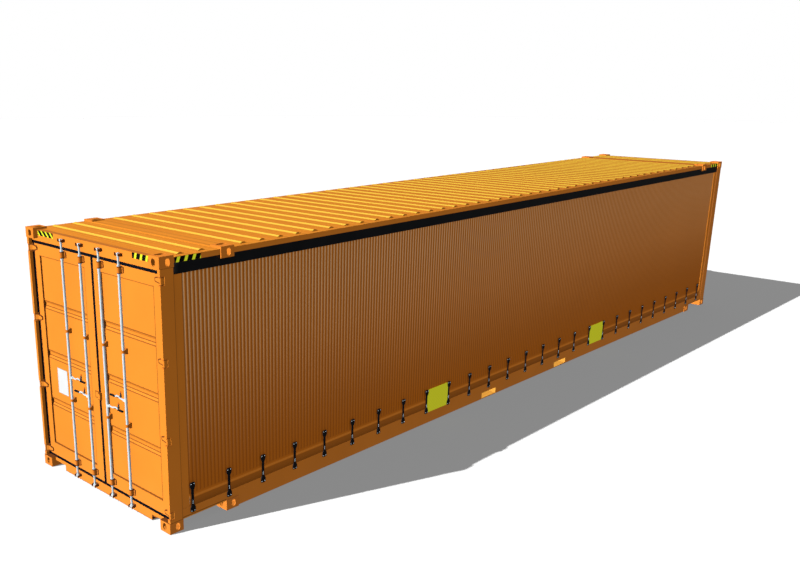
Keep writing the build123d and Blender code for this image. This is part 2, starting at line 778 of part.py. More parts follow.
def hinge_blade(height):
    """A hinge of the left leaf: a barrel on the pin and a tapered blade on the leaf."""
    back = FRAME_FACE
    front = back - BLADE_THICKNESS
    half, tip = BARREL_HEIGHT / 2, BLADE_TIP_HEIGHT / 2
    low, high = height - half, height + half
    barrel = Pos(PIN_X, PIN_Y, height) * Cylinder(BARREL_RADIUS, BARREL_HEIGHT)
    web = [
        (PIN_X, PIN_Y - BARREL_RADIUS),
        (PIN_X, PIN_Y + BARREL_RADIUS / 2),
        (back, PIN_Y + BARREL_RADIUS / 2),
        (back, FLANGE_INNER - BARREL_RADIUS),
        (front, FLANGE_INNER - BARREL_RADIUS),
    ]
    end = FLANGE_INNER - BLADE_LENGTH
    points = [(FLANGE_INNER, low), (FLANGE_INNER, high), (end, height + tip), (end, height - tip)]
    blade = along_x(points, front, back)
    blade = fillet(blade.edges().filter_by(Axis.X).group_by(Axis.Y)[0], BLADE_ROUND)
    bore = Pos(PIN_X, PIN_Y, height) * Cylinder(PIN_RADIUS + PIN_CLEARANCE, BARREL_HEIGHT)
    return barrel + upright(web, low, high) + blade - bore


def rod(radius, y, low, high):
    """A round length of a locking bar between two levels."""
    return Pos(BAR_X, y, (low + high) / 2) * Cylinder(radius, high - low)


def cam(y):
    """The cam that stands on a bar's upper end: two horns across a domed core, on a tapered foot."""
    horns = Cylinder(CAM_RADIUS, CAM_HORN) & Box(CAM_WIDTH, 2 * CAM_RADIUS, CAM_HORN)
    core = Cylinder(CAM_CORE, CAM_HEIGHT)
    core = fillet(core.edges().group_by(Axis.Z)[-1], CAM_DOME)
    foot = Pos(0, 0, -CAM_FOOT / 2) * Cone(NECK_RADIUS, BAR_RADIUS, CAM_FOOT)
    standing = Pos(0, 0, CAM_HORN / 2) * horns + Pos(0, 0, CAM_HEIGHT / 2) * core + foot
    return Pos(BAR_X, y, BAR_TOP) * standing


def locking_bar(y):
    """A bar with thinner ends, a cam at each end and a collar on either side of each box guide."""
    reach = BOX_GUIDE_HEIGHT / 2 + COLLAR_GAP
    first, last = BOX_GUIDE_HEIGHTS
    bar = rod(NECK_RADIUS, y, BAR_BOTTOM, BAR_TOP) + rod(BAR_RADIUS, y, first - reach, last + reach)
    for height in BOX_GUIDE_HEIGHTS:
        bar += rod(COLLAR_RADIUS, y, height + reach, height + reach + COLLAR_HEIGHT)
        bar += rod(COLLAR_RADIUS, y, height - reach - COLLAR_HEIGHT, height - reach)
    turned = Pos(0, 0, BAR_TOP + BAR_BOTTOM) * mirror(cam(y), about=Plane.XY)
    return bar + [cam(y), turned]


def hub(y, z, way):
    """The fork on a bar that holds the handle's pin; way is +1 or -1 along Y."""
    half = HUB_HEIGHT / 2
    x = (BAR_X - HUB_THICKNESS / 2, BAR_X + HUB_THICKNESS / 2)
    fork = block(x, (y, y + way * (HUB_REACH + half)), (z - half, z + half))
    gap = (BAR_X - FORK_GAP / 2, BAR_X + FORK_GAP / 2)
    start = y + way * (HUB_REACH - EYE_RADIUS - COLLAR_GAP)
    fork -= block(gap, (start, y + way * (HUB_REACH + HUB_HEIGHT)), (z - HUB_HEIGHT, z + HUB_HEIGHT))
    pin = Rot(0, 90, 0) * Cylinder(HANDLE_PIN_RADIUS, HUB_THICKNESS)
    return fork + Pos(BAR_X, y + way * HUB_REACH, z) * pin


def handle(y, z, way):
    """The flat arm that turns a bar: cranked up over its retainer, and drilled for the hub's pin."""
    x = (BAR_X - ARM_THICKNESS / 2, BAR_X + ARM_THICKNESS / 2)
    pivot = y + way * HUB_REACH
    end = HANDLE_LENGTH - GRIP_LENGTH
    crank = (RETAINER_REACH - CRANK_REACH, RETAINER_REACH + CRANK_REACH)
    line = [
        (HUB_REACH, 0),
        (crank[0], 0),
        (crank[0] + CRANK_RUN, ARM_CRANK),
        (crank[1] - CRANK_RUN, ARM_CRANK),
        (crank[1], 0),
        (end, 0),
    ]
    lower = [(y + way * u, z + rise - ARM_HEIGHT / 2) for u, rise in line]
    upper = [(v, level + ARM_HEIGHT) for v, level in reversed(lower)]
    eye = Rot(0, 90, 0) * Cylinder(EYE_RADIUS, ARM_THICKNESS)
    arm = along_x(lower + upper, *x) + Pos(BAR_X, pivot, z) * eye
    bore = Rot(0, 90, 0) * Cylinder(HANDLE_PIN_RADIUS + HANDLE_PIN_CLEARANCE, ARM_THICKNESS)
    return arm - Pos(BAR_X, pivot, z) * bore


def grip(y, z, way):
    """The round rubber end of a handle."""
    middle = y + way * (HANDLE_LENGTH - GRIP_LENGTH / 2)
    sleeve = Rot(90, 0, 0) * Cylinder(GRIP_RADIUS, GRIP_LENGTH)
    sleeve = fillet(sleeve.edges(), GRIP_RADIUS / 3)
    return Pos(BAR_X, middle, z) * sleeve


def retainer(y, z, way):
    """The bracket that carries a handle, with a tongue up behind it, open at its front."""
    middle = y + way * RETAINER_REACH
    half = RETAINER_WIDTH / 2
    high = z + ARM_CRANK - ARM_HEIGHT / 2 - RETAINER_GAP
    low = high - RETAINER_SHELF
    foot = low - 2 * RETAINER_SHELF
    piece = block((BAR_X - ARM_THICKNESS, PANEL_FACE), (middle - half, middle + half), (low, high))
    half = TONGUE_WIDTH / 2
    tongue = (PANEL_FACE - TONGUE_THICKNESS, PANEL_FACE)
    return piece + block(tongue, (middle - half, middle + half), (foot, z + TONGUE_RISE))


def ring_guide(y, z):
    """A collar round a bar, on a rounded foot that stands on the door sheet."""
    outer = BAR_RADIUS + GUIDE_CLEARANCE + GUIDE_WALL
    low, high = z - RING_GUIDE_HEIGHT / 2, z + RING_GUIDE_HEIGHT / 2
    foot, bend = RING_GUIDE_FOOT / 2, (BAR_X + PANEL_FACE) / 2
    below = [(PANEL_FACE, z - foot), (bend, z - foot), (BAR_X, low)]
    web = below + [(x, 2 * z - level) for x, level in reversed(below)]
    piece = rod(outer, y, low, high) + along_y(web, y - outer, y + outer)
    return piece - rod(BAR_RADIUS + GUIDE_CLEARANCE, y, z - foot, z + foot)


def box_guide(y, z):
    """A tall box bracket with two rounded ears on the leaf's frame."""
    outer = BAR_RADIUS + GUIDE_CLEARANCE + GUIDE_WALL
    low, high = z - BOX_GUIDE_HEIGHT / 2, z + BOX_GUIDE_HEIGHT / 2
    half = EAR_WIDTH / 2
    ears = block((FRAME_FACE - EAR_THICKNESS, FRAME_FACE), (y - half, y + half), (low, high))
    ears = fillet(ears.edges().filter_by(Axis.X), EAR_ROUND)
    piece = rod(outer, y, low, high) + block((BAR_X, FRAME_FACE), (y - outer, y + outer), (low, high))
    return piece + ears - rod(BAR_RADIUS + GUIDE_CLEARANCE, y, low, high)


def bar_guides(side):
    """The guides of one leaf's bars, side +1 for the left leaf and -1 for the right."""
    pieces = []
    for y in BAR_OFFSETS:
        pieces += [box_guide(side * y, level) for level in BOX_GUIDE_HEIGHTS]
        pieces += [ring_guide(side * y, level) for level in RING_GUIDE_HEIGHTS]
    return pieces


def retainers(side):
    """The handle retainers of one leaf, side +1 for the left leaf and -1 for the right."""
    return [retainer(*place) for place in HANDLES.values() if place[0] * side > 0]


def lock_plate():
    """The square pad on the left leaf's meeting edge."""
    y = (LEAF_CENTRE, LEAF_CENTRE + LOCK_PLATE_WIDTH)
    z = (LOCK_RISE - LOCK_SIZE / 2, LOCK_RISE + LOCK_SIZE / 2)
    return block((FRAME_FACE - LOCK_PLATE_THICKNESS, FRAME_FACE), y, z)


def lock_box():
    """The open box on the right leaf's meeting edge, for a padlock."""
    x = (FRAME_FACE - LOCK_BOX_DEPTH, FRAME_FACE)
    y = (-SEAL_CENTRE_GAP - LOCK_BOX_WIDTH, -SEAL_CENTRE_GAP)
    z = (LOCK_RISE - LOCK_SIZE / 2, LOCK_RISE + LOCK_SIZE / 2)
    wall = LOCK_BOX_WALL
    return block(x, y, z) - block((x[0] + wall, x[1]), (y[0] + wall, y[1] - wall), (z[0], z[1] - wall))


nodes = {
    "door_end_castings": end_castings(),
    "front_end_castings": [other_end(shape) for shape in end_castings()],
    "forty_foot_castings": forty_castings(),
    "door_posts": on_both_sides([door_post()]),
    "hinge_lugs": on_both_sides(hinge_lugs()),
    "front_posts": on_both_sides([front_post()]),
    "forty_foot_posts": at_both_ends(on_both_sides([forty_post()])),
    "door_header": [door_header()],
    "door_sill": [door_sill()],
    "front_header": [front_beam(HEADER_BOTTOM, ROOF_TOP)],
    "front_sill": [front_beam(GROUND_GAP, FLOOR_TOP)],
    "front_wall": [front_wall()],
    "top_rail_left": top_rail(),
    "top_rail_right": [other_side(shape) for shape in top_rail()],
    "bottom_rail_left": [bottom_rail()],
    "bottom_rail_right": [other_side(bottom_rail())],
    "fork_pockets": at_both_ends([fork_pocket()]),
    "cross_members": cross_members(),
    "floor": [floor()],
    "roof_panel": roof_panel(),
    "roof_bands": at_both_ends([roof_band()]),
    "curtain_left": [curtain()],
    "curtain_right": [other_side(curtain())],
    "curtain_poles": at_both_ends(on_both_sides([curtain_pole()])),
    "pelmet_left": [pelmet()],
    "pelmet_right": [other_side(pelmet())],
    "straps_left": straps(),
    "straps_right": [other_side(shape) for shape in straps()],
    "cam_keepers": on_both_sides(cam_keepers()),
    "door_leaf_left": [leaf()],
    "door_leaf_right": [other_side(leaf())],
    "door_seal_left": [seal()],
    "door_seal_right": [other_side(seal())],
    "door_hinges_left": [hinge_blade(z) for z in HINGE_HEIGHTS],
    "door_hinges_right": [other_side(hinge_blade(z)) for z in HINGE_HEIGHTS],
    "bar_guides_left": bar_guides(1),
    "bar_guides_right": bar_guides(-1),
    "handle_retainers_left": retainers(1),
    "handle_retainers_right": retainers(-1),
    "lock_plate_left": [lock_plate()],
    "lock_box_right": [lock_box()],
}
for name, place in HANDLES.items():
    nodes["locking_bar_" + name] = [locking_bar(place[0]) + hub(*place)]
    nodes["handle_" + name] = [handle(*place)]
    nodes["grip_" + name] = [grip(*place)]

os.makedirs("parts", exist_ok=True)
for name, shapes in nodes.items():
    solids = [solid for shape in shapes for solid in shape.solids()]
    export_step(Compound(children=solids) if len(solids) > 1 else solids[0], f"parts/{name}.step")
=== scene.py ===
import bpy
import numpy as np
from math import radians, pi
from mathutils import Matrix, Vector


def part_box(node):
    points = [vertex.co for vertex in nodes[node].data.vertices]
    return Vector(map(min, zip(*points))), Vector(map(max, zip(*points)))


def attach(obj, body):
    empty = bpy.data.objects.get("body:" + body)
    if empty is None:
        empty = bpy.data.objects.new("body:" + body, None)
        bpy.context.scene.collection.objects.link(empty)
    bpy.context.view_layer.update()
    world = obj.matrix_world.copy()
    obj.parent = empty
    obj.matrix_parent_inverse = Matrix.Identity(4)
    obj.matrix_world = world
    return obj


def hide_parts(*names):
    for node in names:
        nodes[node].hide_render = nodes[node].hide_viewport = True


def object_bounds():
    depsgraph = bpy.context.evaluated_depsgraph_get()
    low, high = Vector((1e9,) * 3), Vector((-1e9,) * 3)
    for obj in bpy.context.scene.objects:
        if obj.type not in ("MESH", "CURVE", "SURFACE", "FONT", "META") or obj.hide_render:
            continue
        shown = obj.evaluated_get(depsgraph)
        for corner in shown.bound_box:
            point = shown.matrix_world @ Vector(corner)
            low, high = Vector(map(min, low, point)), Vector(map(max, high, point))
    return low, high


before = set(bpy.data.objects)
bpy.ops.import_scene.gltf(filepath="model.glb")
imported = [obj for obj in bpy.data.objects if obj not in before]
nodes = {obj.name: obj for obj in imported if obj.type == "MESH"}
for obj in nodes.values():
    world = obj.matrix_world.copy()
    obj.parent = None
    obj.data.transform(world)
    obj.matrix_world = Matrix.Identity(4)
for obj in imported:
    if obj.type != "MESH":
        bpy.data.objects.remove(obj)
cad_low, cad_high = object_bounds()

# The view. The container is seen from a raised stand off its near door corner, on a pale floor inside
# a white dome. Lamps from the doors, the side, above and behind light it without shadows on itself, and
# a lamp of the floor's own lays one flat shadow beside it.
FLOOR_REACH = 90
FLOOR_DROP = 0.001
FLOOR_TONE = 0.15
FLOOR_GLOW = 0.235
DOME_SHARE = 0.99
DOME_SIDES = 48
DOME_RINGS = 14
DOME_LOWEST = -0.1
ROOM_LIGHT = 0.15
LAMP_ANGLE = 0.4

scene = bpy.context.scene
scene.view_settings.view_transform = "Standard"
scene.cycles.diffuse_bounces = 0
camera = bpy.data.objects.new("camera", bpy.data.cameras.new("camera"))
scene.collection.objects.link(camera)
scene.camera = camera
camera.location = (-11.709, -7.913, 4.523)
camera.rotation_euler = (radians(73.45), 0, radians(-44.62))
camera.data.sensor_width = 36
camera.data.lens = 39.90
camera.data.shift_x = 0.1375
camera.data.shift_y = 0.07125
camera.data.clip_end = 400


def surround(name, points, faces, tone, glow):
    """A plain surface of the studio with a glow of its own, which isn't part of the container."""
    mesh = bpy.data.meshes.new(name)
    mesh.from_pydata(points, [], faces)
    made = bpy.data.objects.new(name, mesh)
    scene.collection.objects.link(made)
    material = bpy.data.materials.new(name)
    material.use_nodes = True
    shader = material.node_tree.nodes["Principled BSDF"]
    shader.inputs["Base Color"].default_value = (tone, tone, tone, 1)
    shader.inputs["Roughness"].default_value = 1
    shader.inputs["Specular IOR Level"].default_value = 0
    shader.inputs["Emission Color"].default_value = (1, 1, 1, 1)
    shader.inputs["Emission Strength"].default_value = glow
    mesh.materials.append(material)
    return made


floor_points = [(x * FLOOR_REACH, y * FLOOR_REACH, -FLOOR_DROP)
                for x, y in ((-1, -1), (1, -1), (1, 1), (-1, 1))]
ground =surround("ground", floor_points, [(0, 1, 2, 3)], FLOOR_TONE, FLOOR_GLOW)
ground.visible_diffuse = ground.visible_glossy = False

turn, rise = np.meshgrid(np.linspace(0, 2 * pi, DOME_SIDES, endpoint=False),
                         np.linspace(DOME_LOWEST, pi / 2, DOME_RINGS))
dome_points = FLOOR_REACH * DOME_SHARE * np.stack(
    [np.cos(rise) * np.cos(turn), np.cos(rise) * np.sin(turn), np.sin(rise)], axis=-1).reshape(-1, 3)
ring, level = np.meshgrid(np.arange(DOME_SIDES), np.arange(DOME_RINGS - 1))
following = (ring + 1) % DOME_SIDES
dome_faces = np.stack([level * DOME_SIDES + ring, (level + 1) * DOME_SIDES + ring,
                       (level + 1) * DOME_SIDES + following, level * DOME_SIDES + following], axis=-1)
dome = surround("surround", dome_points, dome_faces.reshape(-1, 4), 0, 1)
dome.visible_diffuse = dome.visible_glossy = dome.visible_transmission = dome.visible_shadow = False

sky = bpy.data.worlds.new("sky")
sky.use_nodes = True
sky.node_tree.nodes["Background"].inputs["Color"].default_value = (1, 1, 1, 1)
sky.node_tree.nodes["Background"].inputs["Strength"].default_value = ROOM_LIGHT
scene.world = sky


def lamp(name, energy, towards, on_floor):
    """A far lamp in a direction: either one without shadows for all but the floor, or one for the floor
    alone, on which the container casts its shadow."""
    made = bpy.data.objects.new(name, bpy.data.lights.new(name, "SUN"))
    scene.collection.objects.link(made)
    made.data.energy = energy
    made.data.angle = radians(LAMP_ANGLE)
    made.data.use_shadow = on_floor
    made.visible_glossy = name == "key"
    made.rotation_euler = Vector(towards).to_track_quat("Z", "Y").to_euler()
    lit = bpy.data.collections.new(name + "_receivers")
    lit.objects.link(ground)
    lit.collection_objects[0].light_linking.link_state = "INCLUDE" if on_floor else "EXCLUDE"
    made.light_linking.receiver_collection = lit


lamp("key", 3.95, (-0.87, 0.28, 0.39), False)
lamp("side", 0.40, (-0.2, -0.97, 0.1), False)
lamp("top", 0.45, (0, 0, 1), False)
lamp("back", 1.5, (0.62, 0.72, 0.31), False)
lamp("floor_lamp", 27, (-0.742, 0.259, 0.619), True)

# The steel frame: corner blocks, posts, sills, headers, rails and underframe, welded up and sprayed
# orange. The film is a little uneven, with a faint orange peel and dust low down. Painted shade darkens its
# seams, edges and ledges and the tops of the lower corner blocks. The cross-members are painted a darker
# orange as painted shade, the insides of the fork pockets a lighter orange as painted light, and a painted
# highlight runs along the rails' lip. The frame faces that meet the door seals are painted black, for the
# seals' lips pressing there and the painted shade of the gap behind them.
ORANGE = (0.93, 0.290, 0.030)
LIP_HIGHLIGHT_ORANGE = (1.0, 0.36, 0.035)
BLOCK_ORANGE = (0.90, 0.270, 0.030)
SHADED_UNDER_ORANGE = (0.62, 0.17, 0.022)
LIT_POCKET_ORANGE = (0.96, 0.42, 0.055)
# Painted shade: a dark brown laid along seams, rims and ledges where shade falls.
SHADE_BROWN = (0.16, 0.045, 0.012)
SEAL_BLACK = (0.003, 0.004, 0.009)
DUST = (0.45, 0.33, 0.22)

DUST_HEIGHT = 0.5
DUST_SHARE = 0.04
SPRAYED = 0.42
PAINT_SHINE = 0.04
GLOSS_RANGE = 0.16
TONE_SCALE = 1.3
TONE_RANGE = 0.05
MOTTLE_SCALE = 14
PEEL_SCALE = 130
PEEL_DEPTH = 0.0004

BLOCK_HEIGHT = 0.118
SEAM = 0.006
LIP_LEVEL = 0.117
LIP_HALF = 0.010
LIP_RISE = 0.013
END_BAYS = 6.096
SILL_EDGE = 0.012
SILL_FACE = (-6.822, -6.820)
SILL_BACK = -6.75
FIN_FACE = (-6.814, -6.812)
FIN_BACK = -6.795
FIN_INNER = 1.2086


class Value:
    """One output of a shader node. Arithmetic on it adds Math nodes to the same finish."""

    def __init__(self, finish, socket):
        self.finish = finish
        self.socket = socket

    def math(self, operation, *others):
        return self.finish.node("Math", {"operation": operation}, dict(enumerate((self, *others))))

    def __add__(self, other):
        return self.math("ADD", other)

    def __sub__(self, other):
        return self.math("SUBTRACT", other)

    def __mul__(self, other):
        return self.math("MULTIPLY", other)

    def __truediv__(self, other):
        return self.math("DIVIDE", other)

    def __rsub__(self, other):
        return self * -1 + other

    def __lt__(self, other):
        return self.math("LESS_THAN", other)

    def __gt__(self, other):
        return self.math("GREATER_THAN", other)

    __radd__ = __add__
    __rmul__ = __mul__

    def fraction(self):
        return self.math("FRACT")

    def sine(self):
        return self.math("SINE")

    def root(self):
        return self.math("SQRT")

    def size(self):
        return self.math("ABSOLUTE")

    def least(self, other):
        return self.math("MINIMUM", other)

    def most(self, other):
        return self.math("MAXIMUM", other)

    def between(self, low, high):
        """0 below low, 1 above high and straight in between."""
        return self.finish.node("MapRange", {"clamp": True}, {0: self, 1: low, 2: high})

    def off(self, *lines):
        """The distance to the nearest of some lines."""
        gap = (self - lines[0]).size()
        for line in lines[1:]:
            gap = gap.least((self - line).size())
        return gap

    def along(self, *lines, half):
        """1 on any of some lines, down to 0 at a distance of half from them."""
        return 1 - self.off(*lines).between(half * 0.4, half)

    def from_nearest(self, first, pitch):
        """How far past the nearest of many lines, which start at first and go on at an even pitch."""
        return (((self - first) / pitch + 0.5).fraction() - 0.5) * pitch


class Finish:
    """A material in the making: one Principled shader, its colour so far, and the methods that add to it."""

    def __init__(self, name, roughness, metallic=0.0, **fixed):
        self.material = bpy.data.materials.new(name)
        self.material.use_nodes = True
        self.tree = self.material.node_tree
        self.shader = self.tree.nodes["Principled BSDF"]
        self.set("Roughness", roughness)
        self.set("Metallic", metallic)
        for socket, value in fixed.items():
            self.set(socket.replace("_", " "), value)

    def plug(self, socket, value):
        if isinstance(value, Value):
            self.tree.links.new(value.socket, socket)
        elif isinstance(value, tuple) and len(value) == 3 and len(socket.default_value) == 4:
            socket.default_value = (*value, 1)
        else:
            socket.default_value = value

    def set(self, name, value):
        self.plug(self.shader.inputs[name], value)

    def node(self, kind, settings=None, inputs=None, output=0):
        """Add a node: its settings first, such as a Math node's operation, then its inputs."""
        made = self.tree.nodes.new("ShaderNode" + kind)
        for name, value in (settings or {}).items():
            setattr(made, name, value)
        for name, value in (inputs or {}).items():
            self.plug(made.inputs[name], value)
        return Value(self, made.outputs[output])

    def part(self, whole, axis):
        """The number along one axis of a vector."""
        return self.node("SeparateXYZ", None, {0: whole}, output="XYZ".index(axis))

    def place(self, axis=None):
        """The Object coordinate, whole or as the number along one axis."""
        whole = self.node("TexCoord", output="Object")
        return self.part(whole, axis) if axis else whole

    def across(self, axis):
        """The number along one axis of the piece's own UV map."""
        return self.part(self.node("TexCoord", output="UV"), axis)

    def tilt(self, axis):
        """How far the surface faces along one axis, from -1 to 1."""
        return self.part(self.node("NewGeometry", output="Normal"), axis)

    def facing_up(self):
        """1 where the surface faces up, and 0 where it is upright or faces down."""
        return self.tilt("Z").between(0.5, 0.9)

    def noise(self, scale, detail=2, stretch=(1, 1, 1)):
        """Even noise from about 0.3 to 0.7, finer with scale and drawn out by stretch."""
        spread = self.node("Mapping", None, {"Vector": self.place(), "Scale": stretch})
        return self.node("TexNoise", None, {"Vector": spread, "Scale": scale, "Detail": detail})

    def blend(self, share, first, second):
        """A colour from first to second as share goes from 0 to 1."""
        return self.node("Mix", {"data_type": "RGBA"}, {0: share, 6: first, 7: second}, output=2)

    def toned(self, colour, amount, scale=TONE_SCALE):
        """A colour that drifts lighter and darker by amount."""
        low = tuple(part * (1 - amount) for part in colour)
        high = tuple(min(1.0, part * (1 + amount)) for part in colour)
        return self.blend(self.noise(scale).between(0.3, 0.7), low, high)

    def raise_by(self, height, depth, under=None):
        """Bump the surface by height times depth in metres, on top of another bump."""
        inputs = {"Height": height, "Distance": depth, "Strength": 1.0}
        if under is not None:
            inputs["Normal"] = under
        return self.node("Bump", None, inputs)

    def coat(self, colour):
        """Give the shader a colour, and keep it for the layers over it."""
        self.colour = colour
        self.set("Base Color", colour)

    def layer(self, mask, colour):
        """Lay a colour over the finish where the mask is 1."""
        self.coat(self.blend(mask, self.colour, colour))

    def paint_shade(self, mask, share=0.75):
        """Darken the finish along a mask with painted shade, in a seam or round a rim."""
        self.layer(mask * share, SHADE_BROWN)

    def dress(self, *names):
        """Give this finish to CAD nodes."""
        for name in names:
            for slot in nodes[name].material_slots:
                slot.material = self.material


def paint(name, colour=ORANGE, roughness=SPRAYED):
    """Sprayed steel: drifting tone, fine mottle in the gloss, orange peel and a little dust low down."""
    finish = Finish(name, roughness, Specular_IOR_Level=PAINT_SHINE)
    finish.coat(finish.toned(colour, TONE_RANGE))
    low_down = 1 - finish.place("Z").between(0, DUST_HEIGHT)
    finish.layer(low_down * finish.noise(MOTTLE_SCALE, 4) * (2 * DUST_SHARE), DUST)
    mottle = finish.noise(MOTTLE_SCALE, 3).between(0.2, 0.8)
    finish.set("Roughness", mottle * GLOSS_RANGE + (roughness - GLOSS_RANGE / 2))
    finish.set("Normal", finish.raise_by(finish.noise(PEEL_SCALE), PEEL_DEPTH))
    return finish


paint("orange_paint").dress("forty_foot_posts", "front_wall", "top_rail_left", "top_rail_right")
# The cross-members are painted a darker orange: painted shade under the box.
paint("under_paint", SHADED_UNDER_ORANGE, 0.6).dress("cross_members")
# The fork pockets' insides are painted a lighter orange: painted light on their lit walls.
paint("lit_pocket_paint", LIT_POCKET_ORANGE, 0.5).dress("fork_pockets")

rail_paint = paint("rail_paint")
rail_level = rail_paint.place("Z")
# Painted highlight: a lighter line along the rails' lip in the end bays. Painted shade on the ledge just over
# it and on every face that looks up.
end_bay = rail_paint.place("X").size() > END_BAYS
rail_paint.layer(rail_level.along(LIP_LEVEL, half=LIP_HALF) * end_bay, LIP_HIGHLIGHT_ORANGE)
shade_over_lip = rail_level.along(LIP_LEVEL + LIP_RISE, half=SEAM) * end_bay
rail_paint.paint_shade(rail_paint.facing_up().most(shade_over_lip), 0.8)
rail_paint.dress("bottom_rail_left", "bottom_rail_right")

sill_paint = paint("sill_paint")
# Painted shade along the sill's lower edge.
sill_paint.paint_shade(sill_paint.place("Z").along(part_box("door_sill")[0].z, half=SILL_EDGE), 0.5)
# Black on the sill's top under the doors: the seals' lips pressing there, and painted shade in the gap
# beneath the leaves.
lengthways = sill_paint.place("X")
under_door = lengthways.between(*SILL_FACE) * (lengthways < SILL_BACK)
sill_paint.layer(sill_paint.facing_up() * under_door, SEAL_BLACK)
sill_paint.dress("door_sill", "front_sill")

post_paint = paint("post_paint")
lengthways = post_paint.place("X")
# Painted shade lines where the posts meet the corner blocks, and along the seam at their back edge.
seams = post_paint.place("Z").along(BLOCK_HEIGHT, cad_high[2] - BLOCK_HEIGHT, half=SEAM)
seams = seams.most(lengthways.size().along(abs(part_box("door_posts")[1].x), half=SEAM))
post_paint.paint_shade(seams)
# Black on the posts' flange faces beside the leaves: the seals' lips pressing there, and painted shade in the
# gap.
fin = lengthways.between(*FIN_FACE) * (lengthways < FIN_BACK) * (post_paint.place("Y").size() < FIN_INNER)
post_paint.layer(fin, SEAL_BLACK)
post_paint.dress("door_posts", "front_posts", "curtain_poles")

header_paint = paint("header_paint")
# Painted shade line along the header's top edge.
header_paint.paint_shade(header_paint.place("Z").along(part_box("door_header")[1].z, half=SEAM), 0.4)
header_paint.dress("door_header", "front_header")

casting_paint = paint("casting_paint", BLOCK_ORANGE, 0.5)
# Painted shade on the up-facing tops of the lower corner blocks.
block_head = casting_paint.place("Z").along(BLOCK_HEIGHT, half=SEAM)
casting_paint.paint_shade(casting_paint.facing_up() * block_head, 0.9)
casting_paint.dress("door_end_castings", "front_end_castings", "forty_foot_castings")

# The door leaves: a pressed panel welded into a flat frame, black along the meeting edge. Painted shade
# lines run along the step round each panel and along the edges of the three pressed grooves.
PANEL_SIDES = (0.157, 1.068)
PANEL_LEVELS = (0.312, 2.577)
PANEL_MARGIN = 0.01
GROOVE_TOPS = (0.885, 1.472, 2.061)
GROOVE_HEIGHT = 0.092
GROOVE_SLOPE = 0.030
LEVEL_LINE = 0.009
GROOVE_LINE = 0.008
OUTER_LINE = 0.010
THIN_LINES = 0.8
LEAF_SHADE = 0.9
MEETING_EDGE = 0.0214

leaf_paint = paint("leaf_paint")
beside, upward = leaf_paint.place("Y").size(), leaf_paint.place("Z")
groove_drops = (0, GROOVE_HEIGHT - GROOVE_SLOPE, GROOVE_HEIGHT)
groove_edges = [top - drop for top in GROOVE_TOPS for drop in groove_drops]
on_panel = (beside > PANEL_SIDES[0]) * (beside < PANEL_SIDES[1])
within = (upward > PANEL_LEVELS[0] - PANEL_MARGIN) * (upward < PANEL_LEVELS[1] + PANEL_MARGIN)
# Painted shade lines along the panel's step and the edges of the grooves.
lines = upward.along(*PANEL_LEVELS, half=LEVEL_LINE).most(upward.along(*groove_edges, half=GROOVE_LINE))
lines = (lines * on_panel).most(beside.along(PANEL_SIDES[0], half=GROOVE_LINE) * within) * THIN_LINES
lines = lines.most(beside.along(PANEL_SIDES[1], half=OUTER_LINE) * within)
leaf_paint.paint_shade(lines, LEAF_SHADE)
leaf_paint.layer(beside < MEETING_EDGE, SEAL_BLACK)
leaf_paint.dress("door_leaf_left", "door_leaf_right")

# The hinges: four forged blades flat on each leaf, whose barrels turn on the pins of the posts' lugs.
# The lock plate and the lock box are welded to the meeting edges. Painted shade outlines ring the blades
# and the locks.
HINGE_FIRST = 0.202
HINGE_PITCH = 0.819
BLADE_TIP = 1.108
BLADE_ROUND = 0.020
BLADE_HALF = 0.022
BLADE_TAPER = 0.17
BLADE_SHADE = 0.95
LOCK_LEVELS = (1.144, 1.222)
LOCK_SIDES = (0.021, 0.087)
RIM_WIDTH = 0.013
LUG_ORANGE = (0.88, 0.25, 0.028)

hinge_paint = paint("hinge_paint")
beside = hinge_paint.place("Y").size()
# Painted shade outline round each hinge blade.
off_level = hinge_paint.place("Z").from_nearest(HINGE_FIRST, HINGE_PITCH)
off_tip = (BLADE_TIP + BLADE_ROUND - beside).most(0)
reach = (off_level * off_level + off_tip * off_tip).root()
half_height = (beside - BLADE_TIP).most(0) * BLADE_TAPER + BLADE_HALF
hinge_paint.paint_shade((reach - half_height).between(-RIM_WIDTH, -RIM_WIDTH * 0.75), BLADE_SHADE)
hinge_paint.dress("door_hinges_left", "door_hinges_right")
paint("hardware_paint", LUG_ORANGE, 0.4).dress("hinge_lugs")

lock_paint = paint("lock_paint")
ends, sides = (lock_paint.place(axis) for axis in "ZY")
# Painted shade outline round the lock plate and the lock box.
lock_paint.paint_shade(ends.along(*LOCK_LEVELS, half=RIM_WIDTH).most(sides.along(*LOCK_SIDES, half=RIM_WIDTH)))
lock_paint.dress("lock_plate_left", "lock_box_right")

# The roof: thin ribbed sheets welded to the rails, in the same orange, with faint streaks on the flats,
# and darker from the doors towards the front end. The slopes of the ribs are painted a highlight yellow,
# and a painted shade line runs at the foot of each rib.
ROOF_ORANGE = (0.98, 0.335, 0.030)
STREAK_ORANGE = (0.76, 0.225, 0.022)
SLOPE_HIGHLIGHT_YELLOW = (0.96, 0.60, 0.070)
FOOT_SHADE_BROWN = (0.42, 0.16, 0.020)
FAR_END_ORANGE = (0.49, 0.160, 0.018)
FAR_SLOPE_HIGHLIGHT_YELLOW = (0.65, 0.415, 0.040)
STREAK_SHARE = 0.7
FOOT_SHADE_SHARE = 0.55
DARKENING_SPAN = (-6.9, 3)
DARKENING_SHARE = 0.85
RIB_PITCH = 0.266
RIB_FIRST = 0.133
END_RIB_FIRST = 6.270
END_SHEETS = 6.0
RIB_FOOT = 0.048
FOOT_LINE = 0.012
SLOPE_TILT = (0.2, 0.4)
SLOPE_REACH = (0.032, 0.042)

roof_paint = Finish("roof_paint", 0.6, Specular_IOR_Level=0.02)
streaks = roof_paint.noise(5, 3, stretch=(7, 0.2, 1)).between(0.35, 0.7)
